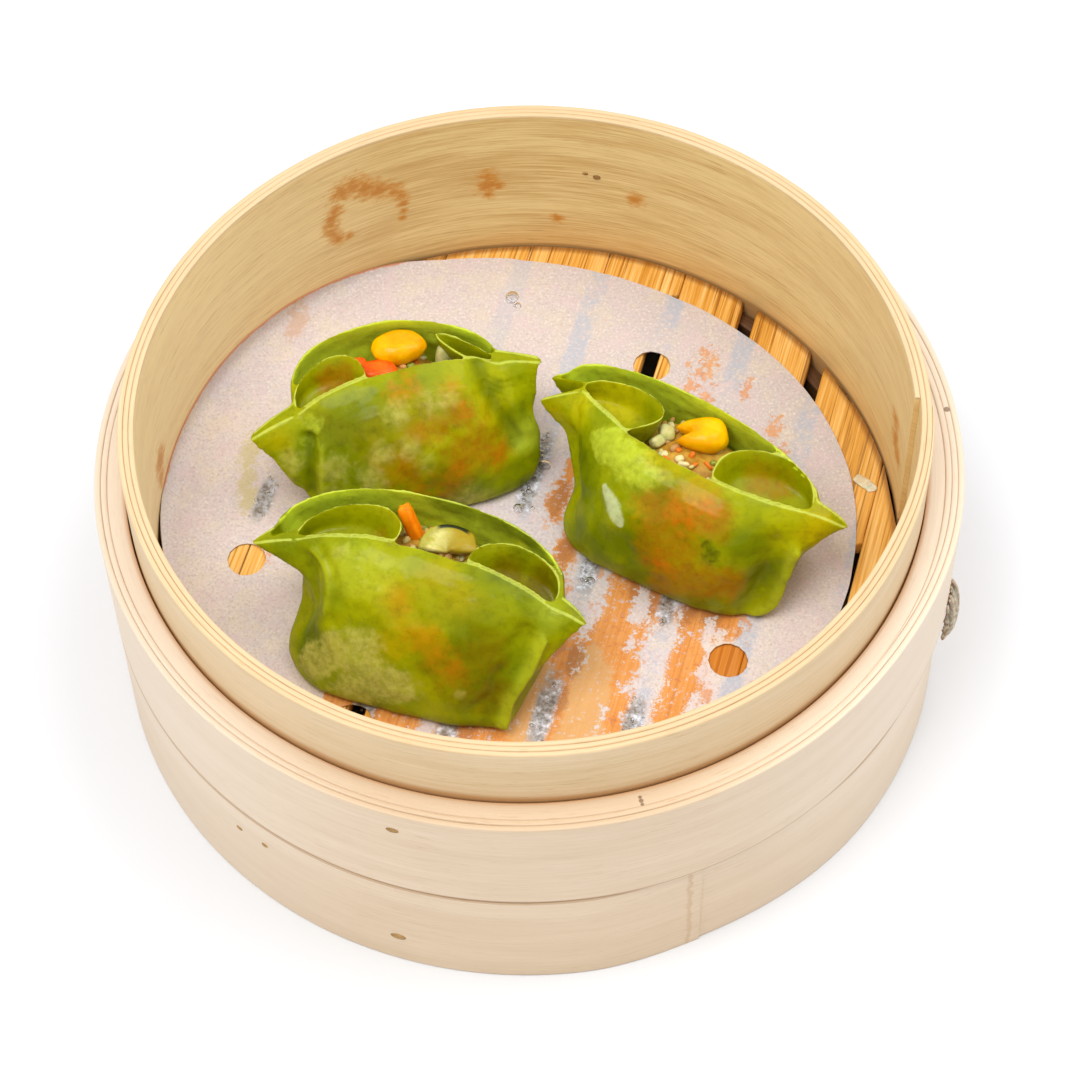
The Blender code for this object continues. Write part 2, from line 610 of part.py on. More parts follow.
def build_morsels(collection, materials):
    for name, (dumpling, kind, middle, half, turn, taper, notch) in MORSELS.items():
        bm = bmesh.new()
        bmesh.ops.create_uvsphere(bm, u_segments=12, v_segments=8, radius=1.0,
                                  matrix=Matrix.Rotation(math.pi / 2, 4, "Y"))
        for vert in bm.verts:
            narrow = 1.0 - taper * vert.co.x
            inwards = notch * max(0.0, -vert.co.x) * (1.0 - abs(vert.co.y)) ** 2
            vert.co = Vector(((vert.co.x + inwards) * half[0], vert.co.y * half[1] * narrow,
                              vert.co.z * half[2] * narrow))
        obj = mesh_object(f"dumpling_{name}", bm, collection, materials[kind])
        put_in_dumpling(obj, dumpling, middle, (0.0, 0.0, turn))
    bm = bmesh.new()
    bmesh.ops.create_cube(bm, size=1.0)
    bmesh.ops.scale(bm, vec=STICK["size"], verts=bm.verts)
    stick = mesh_object("dumpling_front_carrot", bm, collection, materials["carrot"])
    put_in_dumpling(stick, "front", STICK["middle"], STICK["tilt"])
    bevel = stick.modifiers.new("edge", "BEVEL")
    bevel.width = 0.5 * MM
    bevel.segments = 1
    bm = bmesh.new()
    bmesh.ops.create_cone(bm, cap_ends=True, segments=20, radius1=SLICE["radius"],
                          radius2=SLICE["radius"], depth=SLICE["thickness"])
    bmesh.ops.bisect_plane(bm, geom=bm.verts[:] + bm.edges[:] + bm.faces[:],
                           plane_co=(0.0, 0.0, 0.0), plane_no=(0.0, -1.0, 0.0), clear_outer=True)
    bmesh.ops.holes_fill(bm, edges=[edge for edge in bm.edges if edge.is_boundary])
    piece = mesh_object("dumpling_front_courgette", bm, collection, materials["courgette"])
    put_in_dumpling(piece, "front", SLICE["middle"], SLICE["tilt"])


def build_dumplings(collection):
    wrapper_material = make_material("wrapper", 0.35)
    filling_material = make_material("filling", 0.5)
    for name, fold in DUMPLINGS.items():
        wrapper = build_wrapper(name, fold, collection, wrapper_material)
        lighten(wrapper, WRAPPER_TRIANGLES)
        build_core(name, fold, collection, filling_material)
    kinds = ("corn", "carrot", "courgette", "onion")
    build_morsels(collection, {kind: make_material(kind, 0.35) for kind in kinds})


def main():
    clear_scene()
    parts = bpy.data.collections.new("dumplings_in_steamer")
    cutters = bpy.data.collections.new("cutters")
    for collection in (parts, cutters):
        bpy.context.scene.collection.children.link(collection)
    build_basket(parts, cutters)
    build_liner(parts, cutters)
    build_nails(parts)
    build_lacing(parts)
    build_dumplings(parts)


main()
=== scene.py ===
"""Look of the bamboo steamer with three folded green dumplings on a damp paper liner."""
import math

import bmesh
import bpy
import numpy as np
from mathutils import Euler, Matrix, Vector, noise
from mathutils.bvhtree import BVHTree
from mathutils.geometry import delaunay_2d_cdt
from mathutils.kdtree import KDTree


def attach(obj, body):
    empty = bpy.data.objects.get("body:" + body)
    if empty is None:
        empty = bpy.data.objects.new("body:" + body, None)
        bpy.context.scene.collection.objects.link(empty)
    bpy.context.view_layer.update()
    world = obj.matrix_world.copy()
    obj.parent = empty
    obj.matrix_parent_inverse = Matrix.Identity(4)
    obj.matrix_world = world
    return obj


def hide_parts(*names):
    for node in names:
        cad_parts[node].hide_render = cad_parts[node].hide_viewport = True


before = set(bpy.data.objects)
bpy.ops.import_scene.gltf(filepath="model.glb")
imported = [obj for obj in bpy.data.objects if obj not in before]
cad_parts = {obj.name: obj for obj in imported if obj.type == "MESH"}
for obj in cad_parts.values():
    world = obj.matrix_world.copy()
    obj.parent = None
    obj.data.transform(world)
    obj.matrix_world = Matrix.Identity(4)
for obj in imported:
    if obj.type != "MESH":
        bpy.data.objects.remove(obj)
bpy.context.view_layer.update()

MM = 0.001

# Sizes of the basket and its paper in millimetres, angles in degrees, and numbers of steps.
OUTER_RADIUS = 90.0
BAND_STRIP = 1.2
SEAM_HEIGHT = 31.7
LEDGE_HEIGHT = 61.0
LEDGE_RADIUS = 83.6
INNER_RADIUS = 79.95
INNER_STRIP = 1.02
INNER_BOTTOM = 17.0
RIM_HEIGHT = 77.7
LAYER_SLIT = 0.12
BEND_ANGLE = 30.0
BAND_RADIUS = OUTER_RADIUS - 2 * BAND_STRIP - LAYER_SLIT
HOOP_SEGMENTS = 240
ROUNDED_EDGE = 0.3
FLOOR_TOP = 34.0
REST_TOP = 30.2
REST_RADIUS = 76.25
REST_WIDTH = 3.4
BATTEN_REACH = 75.9
BATTEN_OFFSET = 41.0
BATTEN_WIDTH = 11.0
BATTEN_THICKNESS = 4.0
JOINT_GAP = 0.12
SHARP_ANGLE = 50
SLAT_TURN = 16.3
SLAT_PITCH = 18.2
SLAT_THICKNESS = 3.5
SLOT_WIDTH = 3.5
SLOT_OFFSET = -2.55
FIRST_SLAT = -65.85
SLAT_REACH = 79.6
PAPER_TOP = 34.7
HOLE_RADIUS = 4.2
HOLE_COUNT = 8
HOLE_STEPS = 40
HOLE_RING_CENTRE = (-4.3, -2.4)
HOLE_RING_RADIUS = 56.3
FIRST_HOLE = -35.6
UNEVEN_HOLES = {3: (-1.5, -4.5), 5: (-0.6, 4.7)}
LINER_SPOKES = 240
LINER_MESH = 1.3
LINER_BEND = 2.6
LINER_THICKNESS = 0.22
LINER_DIP = 0.2
LINER_DIP_WIDTH = 1.6
LINER_COCKLE = 0.12
LINER_CLEARANCE = 0.35
ALONG_SCALE = 0.4
LACING_STRANDS = 11
LACING_STEPS = 16


def slat_axes(turn):
    """Directions across and along boards that are turned by an angle in degrees."""
    turn = math.radians(turn)
    return (Vector((math.cos(turn), -math.sin(turn), 0.0)),
            Vector((math.sin(turn), math.cos(turn), 0.0)))


# Nodes of a material.
def rgb(red, green, blue):
    """A colour of the eye's scale, 0 to 255, in the renderer's linear scale."""
    linear = []
    for value in (red, green, blue):
        value /= 255.0
        linear.append(value / 12.92 if value <= 0.04045 else ((value + 0.055) / 1.055) ** 2.4)
    return (*linear, 1.0)


class Value:
    """A number, vector or colour that varies over a surface: an output socket of a look."""

    def __init__(self, look, socket):
        self.look = look
        self.socket = socket

    def __add__(self, other):
        return self.look.math("ADD", self, other)

    def __sub__(self, other):
        return self.look.math("SUBTRACT", self, other)

    def __rsub__(self, other):
        return self.look.math("SUBTRACT", other, self)

    def __mul__(self, other):
        return self.look.math("MULTIPLY", self, other)

    def __abs__(self):
        return self.look.math("ABSOLUTE", self)

    def step(self, low, high):
        """A smooth rise from 0 at low to 1 at high."""
        return self.look.node("MapRange", {"Value": self, "From Min": low, "From Max": high},
                              interpolation_type="SMOOTHSTEP")

    def mix(self, share, other, blend="MIX"):
        """This colour with a share of another over it."""
        return self.look.node("Mix", {0: share, 6: self, 7: other}, 2, data_type="RGBA",
                              blend_type=blend)

    def ramp(self, *stops):
        """A colour by value: each stop has its place from 0 to 1 and its colour."""
        node = self.look.nodes.new("ShaderNodeValToRGB")
        self.look.links.new(self.socket, node.inputs[0])
        elements = node.color_ramp.elements
        while len(elements) < len(stops):
            elements.new(0.5)
        for element, (place, colour) in zip(elements, stops):
            element.position = place
            element.color = rgb(*colour)
        return Value(self.look, node.outputs[0])


class Look:
    """One material's node graph. Colours in it are given on the eye's scale."""

    def __init__(self, name, **values):
        self.material = bpy.data.materials.new(name)
        self.material.use_nodes = True
        self.nodes = self.material.node_tree.nodes
        self.links = self.material.node_tree.links
        self.shader = self.nodes["Principled BSDF"]
        for key, value in values.items():
            self.shader.inputs[key.replace("_", " ")].default_value = value
        self.position = self.node("TexCoord", {}, "Object")

    def node(self, kind, inputs, output=0, **settings):
        """A new node's output. Its inputs are linked, or set to plain numbers and colours."""
        node = self.nodes.new("ShaderNode" + kind)
        for key, value in settings.items():
            setattr(node, key, value)
        for key, value in inputs.items():
            if isinstance(value, Value):
                self.links.new(value.socket, node.inputs[key])
            else:
                colour = node.inputs[key].type == "RGBA"
                node.inputs[key].default_value = rgb(*value) if colour else value
        return Value(self, node.outputs[output])

    def math(self, operation, *values):
        return self.node("Math", dict(enumerate(values)), operation=operation)

    def vector(self, operation, *values, output=0):
        return self.node("VectorMath", dict(enumerate(values)), output, operation=operation)

    def along(self, direction):
        """The coordinate along a direction, in millimetres."""
        return self.vector("DOT_PRODUCT", self.position, tuple(value / MM for value in direction),
                           output=1)

    def place(self):
        """The coordinates in millimetres and the distance from the basket's axis."""
        x, y, z = (self.along(axis) for axis in ((1, 0, 0), (0, 1, 0), (0, 0, 1)))
        return x, y, z, self.math("SQRT", x * x + y * y)

    def join(self, x, y, z):
        return self.node("CombineXYZ", {0: x, 1: y, 2: z})

    def noise(self, scale, detail=3.0, roughness=0.55, vector=None):
        return self.node("TexNoise", {"Vector": vector or self.position, "Scale": scale,
                                      "Detail": detail, "Roughness": roughness})

    def attribute(self, name, output="Fac"):
        return self.node("Attribute", {}, output, attribute_name=name)

    def spots(self, places, vector=None):
        """Highest at the middles of round places, and 0 at their edges.

        A place has its coordinates, of which z can be left out, and its radius.
        """
        field = None
        for *middle, radius in places:
            middle = tuple(value * MM for value in (*middle, 0.0)[:3])
            away = self.vector("DISTANCE", vector or self.position, middle, output=1)
            near = 1.0 - away * (1.0 / (radius * MM))
            field = near if field is None else self.math("MAXIMUM", field, near)
        return field

    def finish(self, colour=None, roughness=None, height=None, strength=0.5, depth=0.15):
        """The material. Heights of 0 to 1 stand for the depth in millimetres."""
        normal = height and self.node("Bump", {"Strength": strength, "Distance": depth * MM,
                                               "Height": height})
        for key, value in (("Base Color", colour), ("Roughness", roughness), ("Normal", normal)):
            if value:
                self.links.new(value.socket, self.shader.inputs[key])
        return self.material


# Materials.
def bamboo(name, light, dark, top=RIM_HEIGHT, stains=(), inside=None, marks=(), seam=None,
           roughness=0.5):
    """Bent bamboo strip: grain runs round the basket, fine dashes, stains and small marks; painted
    shade on the tops and in joints, painted light on the sides.
    """
    look = Look(name, Specular_IOR_Level=0.35)
    x, y, z, radius = look.place()
    depth = z + radius * 0.9

    def strands(run, thickness, detail):
        flat = look.join(x * (1.0 / run), y * (1.0 / run), depth * (1.0 / thickness))
        return look.noise(1.0, detail, vector=flat)

    fine = strands(15.0, 0.34, 4.0)
    broad = strands(50.0, 5.0, 2.0)
    shade = fine * 0.6 + broad * 0.4
    colour = shade.ramp((0.30, dark), (0.66, light))
    # side is 1 towards the left and right of the basket, where the wood gets painted light.
    side = abs(x).step(25.0, 78.0)
    # Painted shade on the top edge: the rim of the inner hoop and the ledge beside it, less towards
    # the sides.
    share, paler, top_shade = (0.45, 0.3, (200, 165, 120)) if inside else (0.7, 0.7, (196, 170, 138))
    shaded_top = z.step(top - 0.55, top - 0.15) * (1.0 - side * paler)
    colour = colour.mix(shaded_top * share, top_shade)
    if inside:
        # Painted shade: the outside of the inner hoop turns brown near the ledge, in the joint
        # between them.
        outside = radius.step(INNER_RADIUS + 2.4, INNER_RADIUS + 2.6)
        foot = (z - broad * 2.0).step(LEDGE_HEIGHT + 1.2, LEDGE_HEIGHT - 1.0)
        colour = colour.mix(outside * foot * 0.7, (178, 122, 58))
        within = radius.step(INNER_RADIUS + 2.2, INNER_RADIUS + 1.9)
        within = within * z.step(RIM_HEIGHT - 0.2, RIM_HEIGHT - 0.9)
        face = shade.ramp((0.37, inside[1]), (0.58, inside[0]))
        # Painted light: the side walls are paler, the left one most.
        face = face.mix(side * 0.4, (248, 222, 166))
        face = face.mix(x.step(-20.0, -76.0) * 0.35, (250, 232, 186))
        colour = colour.mix(within, face)
        low = (z - broad * 9.0).step(38.0, 28.0)
        colour = colour.mix(within * low * 0.25, (206, 146, 76))
        # Painted shade along the foot of the wall, where it meets the floor.
        foot = z.step(FLOOR_TOP + 1.3, FLOOR_TOP + 0.3)
        colour = colour.mix(within * foot * 0.5, (150, 92, 44))
        pores = strands(9.0, 0.3, 2.0).step(0.60, 0.72)
        colour = colour.mix(within * pores * 0.45, (176, 130, 66))
    dash = strands(5.0, 0.22, 1.0).step(0.64, 0.78)
    colour = colour.mix(dash * 0.4, (180, 128, 70))
    if stains:
        ragged = look.noise(420.0, 5.0, 0.7, look.vector("MULTIPLY", look.position, (1.0, 1.0, 2.4)))
        field = (look.spots(stains) + (ragged - 0.5) * 2.0) * within
        colour = colour.mix(field.step(0.08, 0.75) * 0.7, (206, 132, 0))
        colour = colour.mix(field.step(0.55, 1.0) * 0.45, (188, 106, 0))
    if marks:
        # Painted light: the outside is paler towards the sides.
        colour = colour.mix(side * 0.5, (229, 214, 196))
        lower = z.step(SEAM_HEIGHT, SEAM_HEIGHT - 16.0)
        colour = colour.mix(lower * 0.2, (198, 168, 128))
        joint = abs(z - SEAM_HEIGHT).step(0.9, 0.6)
        colour = colour.mix(joint * 0.5, (160, 120, 74))
        brim = (radius + broad * 0.8).step(LEDGE_RADIUS + 1.5, LEDGE_RADIUS + 0.5)
        colour = colour.mix(brim * 0.6, (190, 132, 70))
        colour = colour.mix(look.spots(marks).step(0.0, 0.3) * 0.75, (104, 76, 48))
    if seam:
        angle = math.radians(seam)
        off = look.along((-math.sin(angle), math.cos(angle), 0)) \
            + (look.noise(300.0, 3.0, 0.7) - 0.5) * 3.0
        near = abs(off).step(0.8, 0.1) \
            * look.along((math.cos(angle), math.sin(angle), 0)).step(80.0, 85.0) \
            * z.step(SEAM_HEIGHT - 0.5, SEAM_HEIGHT - 2.0)
        colour = colour.mix(near * 0.35, (180, 138, 84))
    return look.finish(colour, fine * 0.16 + (roughness - 0.08), fine - dash * 0.4, 0.5, 0.12)


def slat_wood(look):
    """Colour of the steamed slats: their grain runs along them."""
    across, along = (look.along(axis) for axis in slat_axes(SLAT_TURN))

    def streaks(fine, long, depth, detail, roughness=0.55):
        return look.noise(1.0, detail, roughness, look.join(across * fine, along * long, depth))

    grain = streaks(1.9, 0.035, look.along((0, 0, 1)), 4.0, 0.6)
    shade = grain * 0.7 + streaks(0.16, 0.012, 3.7, 1.0) * 0.3
    colour = shade.ramp((0.34, (134, 74, 18)), (0.42, (204, 140, 50)), (0.50, (222, 160, 70)),
                        (0.63, (242, 198, 124)))
    line = streaks(1.25, 0.016, 9.1, 1.0).step(0.38, 0.31)
    return colour.mix(line * 0.75, (128, 72, 20)), grain, across, along


def slat_material():
    look = Look("slat_wood", Specular_IOR_Level=0.2)
    colour, grain, _, _ = slat_wood(look)
    x, _, _, radius = look.place()
    # Painted light on the slats at the right, near the wall.
    colour = colour.mix(x.step(45.0, 76.0) * 0.15, (255, 206, 124))
    # Painted shade where the slats meet the wall.
    colour = colour.mix(radius.step(77.6, 79.2) * 0.7, (118, 64, 24))
    soaked = look.spots([(41.5, -35.2, FLOOR_TOP, 9.0)]).step(0.0, 0.4)
    colour = colour.mix(soaked * 0.75, (180, 96, 0))
    return look.finish(colour, grain * 0.2 + 0.32, grain, 0.6, 0.2)


# Places of the paper, in millimetres: across the slats, ALONG_SCALE times along, and radius.
WET = [(25.5, -11.0, 7.2), (41.5, -10.6, 4.4), (40.5, -15.2, 3.6), (25, -3.8, 4.5), (33, -3.9, 4.0),
       (41, -4.5, 4.0), (47, -5.0, 3.4), (15, -13.0, 5.0), (10, -18.5, 6.0), (22, -17.5, 6.0),
       (9.5, -1.5, 2.4), (4.6, 3.5, 2.6), (5.4, 7.0, 1.8), (-14, -20.5, 5.5), (-26, -20.3, 4.0),
       (1, -20.6, 6.0), (30.5, -16.8, 3.6), (-58.5, 3.0, 1.6)]
TAN = [(23.5, -15.5, 5.2), (24.0, -19.0, 5.5), (12, -17.0, 5.0), (21.5, -12.5, 2.6)]
FLECKED = [(27.0, 21.0, 4.6), (23.5, 20.5, 2.4), (45.5, 15.3, 3.4), (49.0, 13.6, 3.0),
           (9.0, -2.5, 4.0), (51.0, -4.5, 3.5), (37.0, 19.5, 2.4), (-52.0, -8.0, 2.6),
           (47.0, -13.0, 3.0), (12.0, -6.0, 3.0), (24.5, 18.5, 3.4), (28.5, 18.0, 3.0),
           (4.0, 9.5, 2.4), (18.0, -2.8, 2.0)]
DEEP_WET = [(30.2, -4.7, 3.0), (18.7, -12.2, 2.4), (18.2, -16.3, 2.2), (38.4, -3.8, 3.4),
            (27.2, -3.4, 3.0), (14.3, -10.5, 2.2), (44.0, -4.2, 3.2), (9.5, -1.5, 2.4),
            (4.6, 3.5, 2.6), (1.0, -20.6, 3.5), (-20.0, -20.5, 3.5)]
GRANULES = [(-64.6, 1.7, 3.2), (-62.6, -1.4, 2.6), (-60.5, -3.4, 2.4)]
BLOTCHES = [(-65.5, 16.3, 3.0)]
BARE = [(35.2, -8.5, 2.6), (35.4, -12.5, 2.8), (34.6, -17.0, 3.2), (28.6, -5.6, 2.2),
        (28.8, -9.4, 1.2), (44.8, -10.5, 1.2), (47.5, -8.5, 2.6), (19.2, -8.0, 1.2),
        (44.0, -6.5, 1.5)]
SOAKED = [(16.0, -3.0, 3.4), (16.0, -17.5, 4.6), (34.5, -4.5, 3.4), (34.5, -17.0, 3.4),
          (-2.0, 4.0, 3.5), (-2.2, 8.0, 3.0), (-57.5, -2.8, 3.0), (-20.0, -20.0, 5.0),
          (-2.0, -20.5, 5.0)]


def paper_material():
    look = Look("damp_paper", Specular_IOR_Level=0.2)
    wood, _, across, along = slat_wood(look)
    plan = look.join(across * MM, along * (ALONG_SCALE * MM), 0.0)
    pitch = look.math("FRACT", (across + (SLAT_PITCH * 10.5 - SLOT_OFFSET)) * (1.0 / SLAT_PITCH))
    flakes = look.noise(230.0, 6.0, 0.72) - 0.5
    specks = look.noise(620.0, 5.0, 0.72) - 0.5
    mottle = look.noise(420.0, 4.0, 0.65)
    fibre = look.noise(1700.0, 3.0, 0.7)
    cloud = look.noise(45.0, 3.0, 0.6)
    tone = look.noise(150.0, 4.0, 0.7)
    gap = (abs(pitch - 0.5) * SLAT_PITCH + flakes * 2.4).step(2.9, 1.5)

    def area(places, ragged, low, high):
        return (look.spots(places, plan) + ragged).step(low, high)

    dry = (mottle * 0.4 + cloud * 0.6).ramp(
        (0.38, (198, 187, 188)), (0.50, (205, 192, 188)), (0.62, (212, 197, 186)))
    dry = dry.mix((along + across * 0.3).step(-5.0, 50.0) * 0.5, (186, 174, 170))
    dry = dry.mix(fibre.step(0.46, 0.36) * 0.8, (184, 166, 158))
    dry = dry.mix(fibre.step(0.54, 0.64) * 0.65, (222, 210, 200))
    dry = dry.mix(tone.step(0.50, 0.62) * 0.25, (210, 196, 168))
    dry = dry.mix(tone.step(0.50, 0.38) * 0.35, (206, 182, 184))
    dry = dry.mix(area(GRANULES, specks * 2.2, 0.15, 0.6) * 0.6, (188, 174, 110))
    dry = dry.mix(area(BLOTCHES, specks * 2.2, 0.15, 0.6) * 0.6, (196, 158, 128))
    # Painted shade: the paper greys over the dark gaps between the slats.
    dry_gap_shade = (cloud + specks * 0.8).step(0.36, 0.56) * across.step(-42.0, 6.0) \
        * (fibre.step(0.62, 0.44) * 0.5 + 0.5)
    dry = dry.mix(gap * dry_gap_shade * 0.95, (172, 175, 186))
    wet = area(WET, (flakes + specks * 1.5) * 1.8, -0.10, 0.20)
    wet = wet * (1.0 - area(BARE, (flakes + specks * 1.8) * 2.4, 0.10, 0.36) * 0.92)
    wet = wet * (1.0 - specks.step(0.07, 0.14) * 0.6)
    wet = look.math("MAXIMUM", wet, area(FLECKED, specks * 4.0, 0.55, 0.85) * 0.7)
    seen = wood.mix(0.75, (206, 122, 14))
    seen = seen.mix(specks.step(-0.04, -0.16) * 0.7, (184, 92, 24))
    seen = seen.mix(area(TAN, flakes * 1.6, 0.0, 0.25) * 0.72, (206, 160, 98))
    seen = seen.mix(area(DEEP_WET, (flakes + specks) * 1.5, 0.05, 0.5) * 0.65, (158, 92, 28))
    colour = dry.mix(wet * 0.92, seen)
    # Painted shade: wet paper shows the dark gaps below it in greys.
    soaked = area(SOAKED, (flakes + specks) * 1.2, 0.0, 0.45)
    wet_gap_shade = (specks + 0.5).ramp((0.36, (100, 90, 78)), (0.47, (146, 142, 138)),
                               (0.56, (180, 180, 186)), (0.64, (222, 222, 230)))
    colour = colour.mix(gap * soaked * 0.9, wet_gap_shade)
    colour = colour.mix(look.attribute("rim").step(0.55, 0.9) * 0.8, (190, 108, 48))
    return look.finish(colour, 0.8 - wet * 0.35, mottle + fibre * 0.5 - wet * 0.5)


def dough_material(name, patches):
    """Green dough, thin enough to show what lies behind it as soft patches, with painted highlights,
    painted light and painted shade.
    """
    look = Look(name, Subsurface_Weight=0.3, Subsurface_Scale=0.003,
                Subsurface_Radius=(1.0, 0.9, 0.1), Coat_Weight=0.12, Coat_Roughness=0.12,
                Specular_IOR_Level=0.04)
    soft = look.noise(90.0, 4.0, 0.65) - 0.5
    fine = look.noise(480.0, 5.0, 0.7)
    mince = look.noise(560.0, 2.0, 0.5)
    grainy = mince - 0.5
    lumps = look.noise(720.0, 3.0, 0.6).step(0.38, 0.60)
    colour = look.noise(60.0, 2.0, 0.5).ramp((0.36, (110, 122, 0)), (0.50, (137, 145, 0)),
                                             (0.64, (156, 158, 2)))
    colour = colour.mix(look.attribute("pocket") * 0.6, (140, 140, 0))
    # Painted light: the inner face of the rear sheet is lighter, as if lit through the dough.
    colour = colour.mix(look.attribute("inner") * 0.9, (207, 228, 56))
    for places, tint, share, grain, low, high in patches:
        shape = look.spots(places) + soft * 1.5 + grainy * (1.1 * grain)
        coarse = share * 0.5 * grain
        colour = colour.mix(shape.step(low, high) * (lumps * coarse + (share - coarse)), tint)
    # Painted light along fold ridges and painted shade in fold grooves.
    fold_light_and_shade = look.attribute("fold_light_and_shade")
    colour = colour.mix(fold_light_and_shade.step(0.1, 0.8) * 0.5, (176, 184, 40))
    colour = colour.mix(fold_light_and_shade.step(-0.1, -0.9) * 0.5, (70, 84, 0))
    # Painted highlight along the crest of the dough's edge.
    colour = colour.mix(look.attribute("rim").step(0.62, 0.78) * 0.6, (196, 206, 90))
    speckle = fine.ramp((0.30, (222, 222, 222)), (0.50, (250, 250, 250)), (0.68, (255, 255, 255)))
    colour = colour.mix(1.0, speckle, "MULTIPLY")
    return look.finish(colour, fine * 0.25 + 0.30, fine + soft * 1.5 + mince * 0.8, 0.5, 0.22)


def morsel_material(name, light, dark, scale, roughness, bump=0.15):
    """A mottled, slightly see-through lump, from dark to light."""
    look = Look(name, Subsurface_Weight=0.3, Subsurface_Scale=0.002, Coat_Weight=0.12,
                Coat_Roughness=0.15, Specular_IOR_Level=0.1)
    fine = look.noise(scale, 4.0, 0.6)
    shade = fine * 0.5 + look.noise(scale * 0.2, 2.0) * 0.5
    colour = shade.ramp((0.38, dark), (0.60, light))
    return look.finish(colour, fine * 0.16 + (roughness - 0.08), fine, 0.4, bump)


def tinted_material(name):
    """Chopped bits, each with its own colour."""
    look = Look(name, Subsurface_Weight=0.25, Subsurface_Scale=0.002, Coat_Weight=0.15,
                Coat_Roughness=0.15, Specular_IOR_Level=0.1)
    fine = look.noise(900.0, 4.0, 0.6)
    colour = look.attribute("tint", "Color").mix(fine * 0.35, (120, 84, 30))
    return look.finish(colour, fine * 0.16 + 0.22, fine)


# Meshes.
def make_object(name, shape, material, replaces=(), sharp=None):
    """A smooth-shaded piece from points in millimetres and faces, riding on the body."""
    points, faces = shape
    mesh = bpy.data.meshes.new(name)
    mesh.from_pydata((np.asarray(points, float) * MM).tolist(), [], faces)
    mesh.materials.append(material)
    return add_object(name, mesh, replaces, sharp)


def add_object(name, mesh, replaces, sharp=None):
    mesh.polygons.foreach_set("use_smooth", [True] * len(mesh.polygons))
    if sharp:
        mesh.set_sharp_from_angle(angle=math.radians(sharp))
    obj = bpy.data.objects.new(name, mesh)
    bpy.context.scene.collection.objects.link(obj)
    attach(obj, "root")
    if replaces:
        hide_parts(*replaces)
    return obj


def smooth_step(t):
    """A smooth rise from 0 at t = 0 to 1 at t = 1."""
    t = min(max(t, 0.0), 1.0)
    return t * t * (3.0 - 2.0 * t)


def mix(first, second, t):
    return first + (second - first) * t


def up(height):
    return Vector((0.0, 0.0, height))


def around(angle, radius=1.0, height=0.0):
    """The point at an angle round the z axis."""
    return Vector((radius * math.cos(angle), radius * math.sin(angle), height))


def turns(count):
    """Equal angles once round."""
    return [2 * math.pi * index / count for index in range(count)]


def shares(steps):
    """Equal steps up to 1."""
    return [index / steps for index in range(1, steps + 1)]


def on_ring(angle, height, radius):
    """The point of the basket at an angle in degrees."""
    return around(math.radians(angle), radius, height)


def rotation(angles):
    return Euler([math.radians(angle) for angle in angles]).to_matrix()


def squarer(value, power):
    """A coordinate of -1 to 1 pushed outwards, which makes a round shape squarer."""
    return math.copysign(abs(value) ** power, value)


def bridge(first, second, count):
    """Faces between two rings of count points that start at these two points."""
    return [(first + index, first + (index + 1) % count, second + (index + 1) % count,
             second + index) for index in range(count)]


def loft(rings, closed=False):
    """Faces between rings of equally many points. Rings that don't close get end caps."""
    rows, count = len(rings), len(rings[0])
    faces = []
    for row in range(rows if closed else rows - 1):
        faces += bridge(row * count, (row + 1) % rows * count, count)
    if not closed:
        faces.append(tuple(range(count - 1, -1, -1)))
        faces.append(tuple((rows - 1) * count + index for index in range(count)))
    return [point for ring in rings for point in ring], faces


def merge(parts):
    points, faces = [], []
    for more_points, more_faces in parts:
        base = len(points)
        points += [tuple(point) for point in more_points]
        faces += [tuple(base + index for index in face) for face in more_faces]
    return points, faces


def ellipsoid(middle, half, turn, steps=(16, 10), shape=None):
    """A rounded lump; shape changes its unit points before they are sized."""
    turn = rotation(turn)
    rings = []
    for row in range(steps[1] + 1):
        polar = math.pi * min(max(row / steps[1], 0.02), 0.98)
        ring = []
        for angle in turns(steps[0]):
            point = Vector((math.cos(polar), math.sin(polar) * math.cos(angle),
                            math.sin(polar) * math.sin(angle)))
            if shape:
                point = shape(point)
            ring.append(turn @ (point * Vector(half)) + Vector(middle))
        rings.append(ring)
    return loft(rings)


def chunk(middle, size, turn, seed, power, steps=(20, 14)):
    """A cut piece: a box with soft edges, a little uneven."""
    def shape(point):
        length = sum(abs(value) ** power for value in point) ** (1.0 / power)
        uneven = 1.0 + 0.10 * noise.noise(point * 1.6 + Vector((seed, seed, 0.0)))
        return point / length * uneven
    return ellipsoid(middle, [value / 2 for value in size], turn, steps, shape)


# The basket.
def hoop_section(angle, middle, half, bottom, top, edge):
    """Cross section with rounded edges. The points beside them keep the flat sides flat."""
    low, high = bottom + edge, top - edge
    profile = [(-half + edge, top), (half - edge, top), (half - edge * 0.3, top - edge * 0.3),
               (half, high), (half, high - 0.3), (half, low + 0.3), (half, low),
               (half - edge, bottom), (-half + edge, bottom), (-half, low), (-half, low + 0.3),
               (-half, high - 0.3), (-half, high), (-half + edge * 0.3, top - edge * 0.3)]
    return [around(angle, middle + out, z) for out, z in profile]


